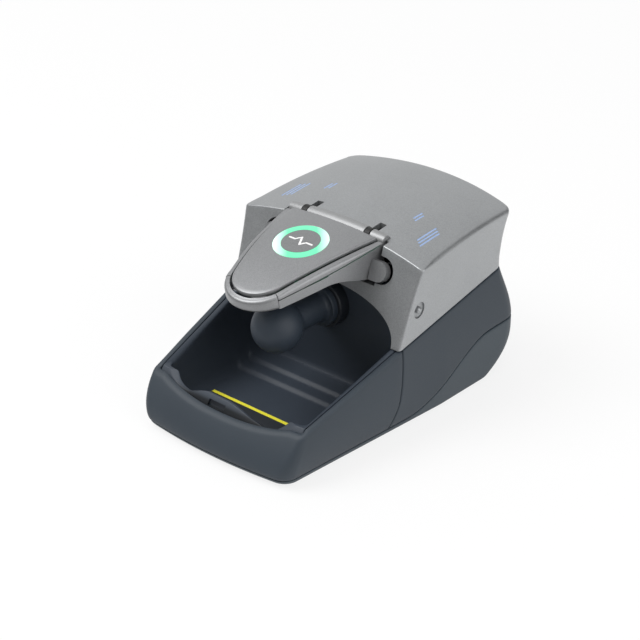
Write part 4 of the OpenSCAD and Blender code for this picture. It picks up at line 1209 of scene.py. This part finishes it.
moulded("base_plastic", grey(0.022, 0.031, 0.043), grey(0.034, 0.048, 0.063), 0.56, 2600, 0.35)
# Painted light: the pan is the base's plastic painted lighter, for the light that its low wall below the S
# seam catches.
moulded("pan_plastic", grey(0.033, 0.046, 0.058), grey(0.05, 0.068, 0.084), 0.54, 2600, 0.35)
moulded("liner_plastic", grey(0.033, 0.042, 0.056), grey(0.049, 0.061, 0.08), 0.46, 2200, 0.2,
        front_wall_shade, 0.3)
moulded("black_plastic", grey(0.012, 0.015, 0.02), grey(0.02, 0.024, 0.031), 0.46, 1800, 0.12)
moulded("finger_rubber", grey(0.021, 0.03, 0.043), grey(0.034, 0.047, 0.066), 0.55, 1500, 0.2)
moulded("foot_rubber", grey(0.018), grey(0.03), 0.8, 1200, 0.3)
print("plastics and rubbers made")

# %% [markdown]
# Prints, screws and the boards inside are small, so they need less: one noise that varies the colour
# and the roughness a little. The sensor's window lets light through.

# %% Printed and inner finishes
def printed(name, dark, light, rough):
    def build(place):
        wear = place.noise(1400, 3)
        return {"Base Color": wear.between(dark, light), "Roughness": rough + (wear - 0.5) * 0.2}
    finish(name, build)


def turned_steel(place):
    marks = place.noise(2400, 3)
    return {
        "Base Color": marks.between(grey(0.5, 0.505, 0.51), grey(0.66, 0.665, 0.67)),
        "Roughness": 0.26 + marks * 0.2,
        "Normal": marks.bump(0.08, 0.00003)}


def board(place):
    off = place.noise(260, 0) - 0.5
    tracks = off.maths("ABSOLUTE", off) < 0.02
    return {
        "Base Color": tracks.between(grey(0.015, 0.13, 0.05), grey(0.05, 0.25, 0.1)),
        "Roughness": 0.4 + place.noise(700, 2) * 0.15}


def clear_glass(place):
    return {"Roughness": 0.05 + place.noise(300, 2) * 0.08}


printed("yellow_print", grey(0.78, 0.7, 0.03), grey(0.92, 0.86, 0.06), 0.5)
printed("white_print", grey(0.86), grey(0.96), 0.5)
printed("blue_window", grey(0.25, 0.36, 0.6), grey(0.35, 0.46, 0.68), 0.3)
printed("battery_wrap", grey(0.5, 0.53, 0.55), grey(0.6, 0.63, 0.65), 0.35)
finish("steel", turned_steel, Metallic=1.0)
finish("circuit_board", board)
finish("sensor_glass", clear_glass, Base_Color=grey(0.3, 0.4, 0.6), Transmission_Weight=0.8, IOR=1.5)
print("printed and inner finishes made")

# %% [markdown]
# The ring round the button is a milky light guide that glows green. Nearly white painted highlights sit
# in its colour and glow at its two ends as seen from the camera. A guide that glows evenly would look like a
# sticker.

# %% Light ring
# Sideways direction of the camera's view, along which the painted highlights lie.
HIGHLIGHT_ACROSS = (0.75, 0.66)
SEAM_GLOW = (-28.0, -6.0)


def ring_glow_with_painted_highlights(place):
    middle = in_arm(0, -BUTTON_REACH, 0)[1] * MM
    along = place.axis(0) * HIGHLIGHT_ACROSS[0] + (place.axis(1) - middle) * HIGHLIGHT_ACROSS[1]
    side = along.maths("ABSOLUTE", along) / (RING_R * MM)
    # Painted highlight: the ring's ends across the camera's view are painted nearly white in colour and glow.
    painted_highlight = (side.share(0.5, 1.0) + (place.noise(500, 1) - 0.5) * 0.1).clamp()
    return {
        "Base Color": painted_highlight.between(grey(0.05, 0.3, 0.16), grey(0.4, 0.6, 0.5)),
        "Emission Color": painted_highlight.between(grey(0.17, 0.8, 0.46), grey(0.78, 0.95, 0.88))}


def seam_glow(place):
    near = (place.axis(1) / MM).share(*SEAM_GLOW)
    return {
        "Base Color": near.between(grey(0.02), grey(0.03, 0.1, 0.06)),
        "Emission Color": near.between(grey(0.0), grey(0.04, 0.3, 0.16))}


finish("green_light", ring_glow_with_painted_highlights, Emission_Strength=0.85, Roughness=0.35)
finish("guide_light", seam_glow, Emission_Strength=0.7, Roughness=0.4)
print("light ring and the edge of its guide made")

# %% [markdown]
# Every solid names its finish in the record. Three of them have a shade of their own, and the
# mouldings take the finish that they were dressed with.

# %% Finishes of the solids
OWN_LOOK = {"button_cap": "button_paint", "hinge_barrel": "bead_paint", "hinge_bracket": "near_black_steel"}


def paint(piece, material):
    piece.data.materials.clear()
    piece.data.materials.append(material)


for subpart in frame["record"]["subparts"]:
    solid = frame["nodes"][subpart["node"]]
    paint(solid, FINISHES[OWN_LOOK.get(subpart["node"], subpart["material_slot"])])
    solid.data.shade_smooth()
    solid.data.set_sharp_from_angle(angle=SMOOTH_ANGLE)
for moulding, look in DRESSED:
    paint(moulding, FINISHES[look])
print("finishes put on", len(frame["nodes"]), "solids and", len(DRESSED), "mouldings")

# %% [markdown]
# ## Camera and light
#
# The camera stands where the photograph was taken from. Its place and lens were worked out from the
# housing, which is the same on its left and its right.

# %% Camera
AZIMUTH = math.radians(41.4)
ELEVATION = math.radians(27.8)
EYE = Vector((352.6, -406.1, 308.6)) * MM
FOCAL_PIXELS = 1929
PICTURE_PIXELS = 640
SENSOR = 36.0

camera_data = bpy.data.cameras.new("camera")
camera_data.sensor_width = SENSOR
camera_data.sensor_fit = "HORIZONTAL"
camera_data.lens = SENSOR * FOCAL_PIXELS / PICTURE_PIXELS
camera_data.clip_start = 0.01
camera = bpy.data.objects.new("camera", camera_data)
bpy.context.scene.collection.objects.link(camera)
flat = math.cos(ELEVATION)
aim = Vector((-math.sin(AZIMUTH) * flat, math.cos(AZIMUTH) * flat, -math.sin(ELEVATION)))
camera.location = EYE
camera.rotation_euler = aim.to_track_quat("-Z", "Y").to_euler()
bpy.context.scene.camera = camera
print("lens", round(camera_data.lens, 1), "mm")

# %% [markdown]
# The table is white paper that keeps the object's shadow. Mirrors see it too, but dim ahead of the
# object, so the upright front stays darker than the roof.

# %% Table
TABLE_HALF = 3.0
GLOW = 0.82
FAR_AWAY = (0.3, 0.9)
DIM_Y = (-0.05, -0.2)
DIM_GREY = 0.2
PAPER = 0.9
table_corners = [(x * TABLE_HALF, y * TABLE_HALF, 0) for x, y in ((-1, -1), (1, -1), (1, 1), (-1, 1))]
table_data = bpy.data.meshes.new("table")
table_data.from_pydata(table_corners, [], [(0, 1, 2, 3)])
table = bpy.data.objects.new("table", table_data)
bpy.context.scene.collection.objects.link(table)


def table_white():
    """White paper, white to the eye. Mirrors see it dim ahead of the object, and far away it has no shade."""
    material = bpy.data.materials.new("table_white")
    material.use_nodes = True
    tree = material.node_tree
    start = Wire(tree)
    shader = tree.nodes["Principled BSDF"]
    shader.inputs["Base Color"].default_value = grey(PAPER)
    shader.inputs["Roughness"].default_value = PAPER
    paper = Wire(tree, shader.outputs[0])
    eye, mirror, glass = (start.node("LightPath", out="Is " + kind + " Ray")
                          for kind in ("Camera", "Glossy", "Transmission"))
    place = start.node("TexCoord", out="Object")
    dim = mirror * place.axis(1).share(*DIM_Y)
    glow = start.node("Emission", {}, {"Color": dim.between(grey(1.0), grey(DIM_GREY)), "Strength": 1.0})
    away = place.node("VectorMath", {"operation": "LENGTH"}, {0: place}, out="Value")
    seen = (eye + mirror + glass).clamp() * (GLOW + away.share(*FAR_AWAY) * (1 - GLOW))
    share = (seen + dim * (1 - GLOW)).clamp()
    shared = start.node("MixShader", {}, {0: share, 1: paper, 2: glow})
    tree.links.new(shared.socket, tree.nodes["Material Output"].inputs["Surface"])
    return material


paint(table, table_white())
print("table", 2 * TABLE_HALF, "m wide")

# %% [markdown]
# The surround is that of a white photo tent: pale overhead and darker towards the horizon, so that
# upright faces look darker than the roof. The tent is open behind on the right, which draws a dark line
# along the roof's right edge, and a white sheet hangs behind on the left.

# %% Surround
SURROUND = (0.12, 0.9)
WHITE_SHEET = {"aim": (-0.7, 0.69, 0.19), "edge": (0.7, 0.95), "grey": 0.85}
OPEN_SIDE = {"aim": (0.45, 0.67, 0.58), "edge": (0.75, 0.75 + 1 / 6), "grey": 0.03}
world = bpy.data.worlds.new("surround")
bpy.context.scene.world = world
world.use_nodes = True
sky_tree = world.node_tree
sky = Wire(sky_tree)
direction = sky.node("TexCoord", out="Generated")
tent = direction.axis(2).clamp().between(grey(SURROUND[0]), grey(SURROUND[1]))
for patch in (WHITE_SHEET, OPEN_SIDE):
    near = sky.node("VectorMath", {"operation": "DOT_PRODUCT"}, {0: direction, 1: patch["aim"]}, out="Value")
    tent = near.share(*patch["edge"]).between(tent, grey(patch["grey"]))
from_eye = sky.node("LightPath", out="Is Camera Ray")
sky_colour = from_eye.between(tent, grey(1.0))
sky_tree.links.new(sky_colour.socket, sky_tree.nodes["Background"].inputs["Color"])
bpy.context.scene.view_settings.view_transform = "Standard"
print("surround", SURROUND)

# %% [markdown]
# A large soft lamp hangs above in front on the left. A wider, weaker one stands on the right, because
# that side would be too dark with the first lamp alone.

# %% Lamps
MIDDLE = Vector((0.0, 0.0, 0.03))


def soft_lamp(name, place, size, watts):
    data = bpy.data.lights.new(name, "AREA")
    data.shape = "DISK"
    data.size = size
    data.energy = watts
    lamp = bpy.data.objects.new(name, data)
    bpy.context.scene.collection.objects.link(lamp)
    lamp.location = place
    lamp.rotation_euler = (MIDDLE - lamp.location).to_track_quat("-Z", "Y").to_euler()
    print(name, watts, "W")


soft_lamp("key_lamp", (-0.45, -0.45, 0.88), 0.8, 7)
soft_lamp("fill_lamp", (0.9, 0.1, 0.45), 1.2, 5)
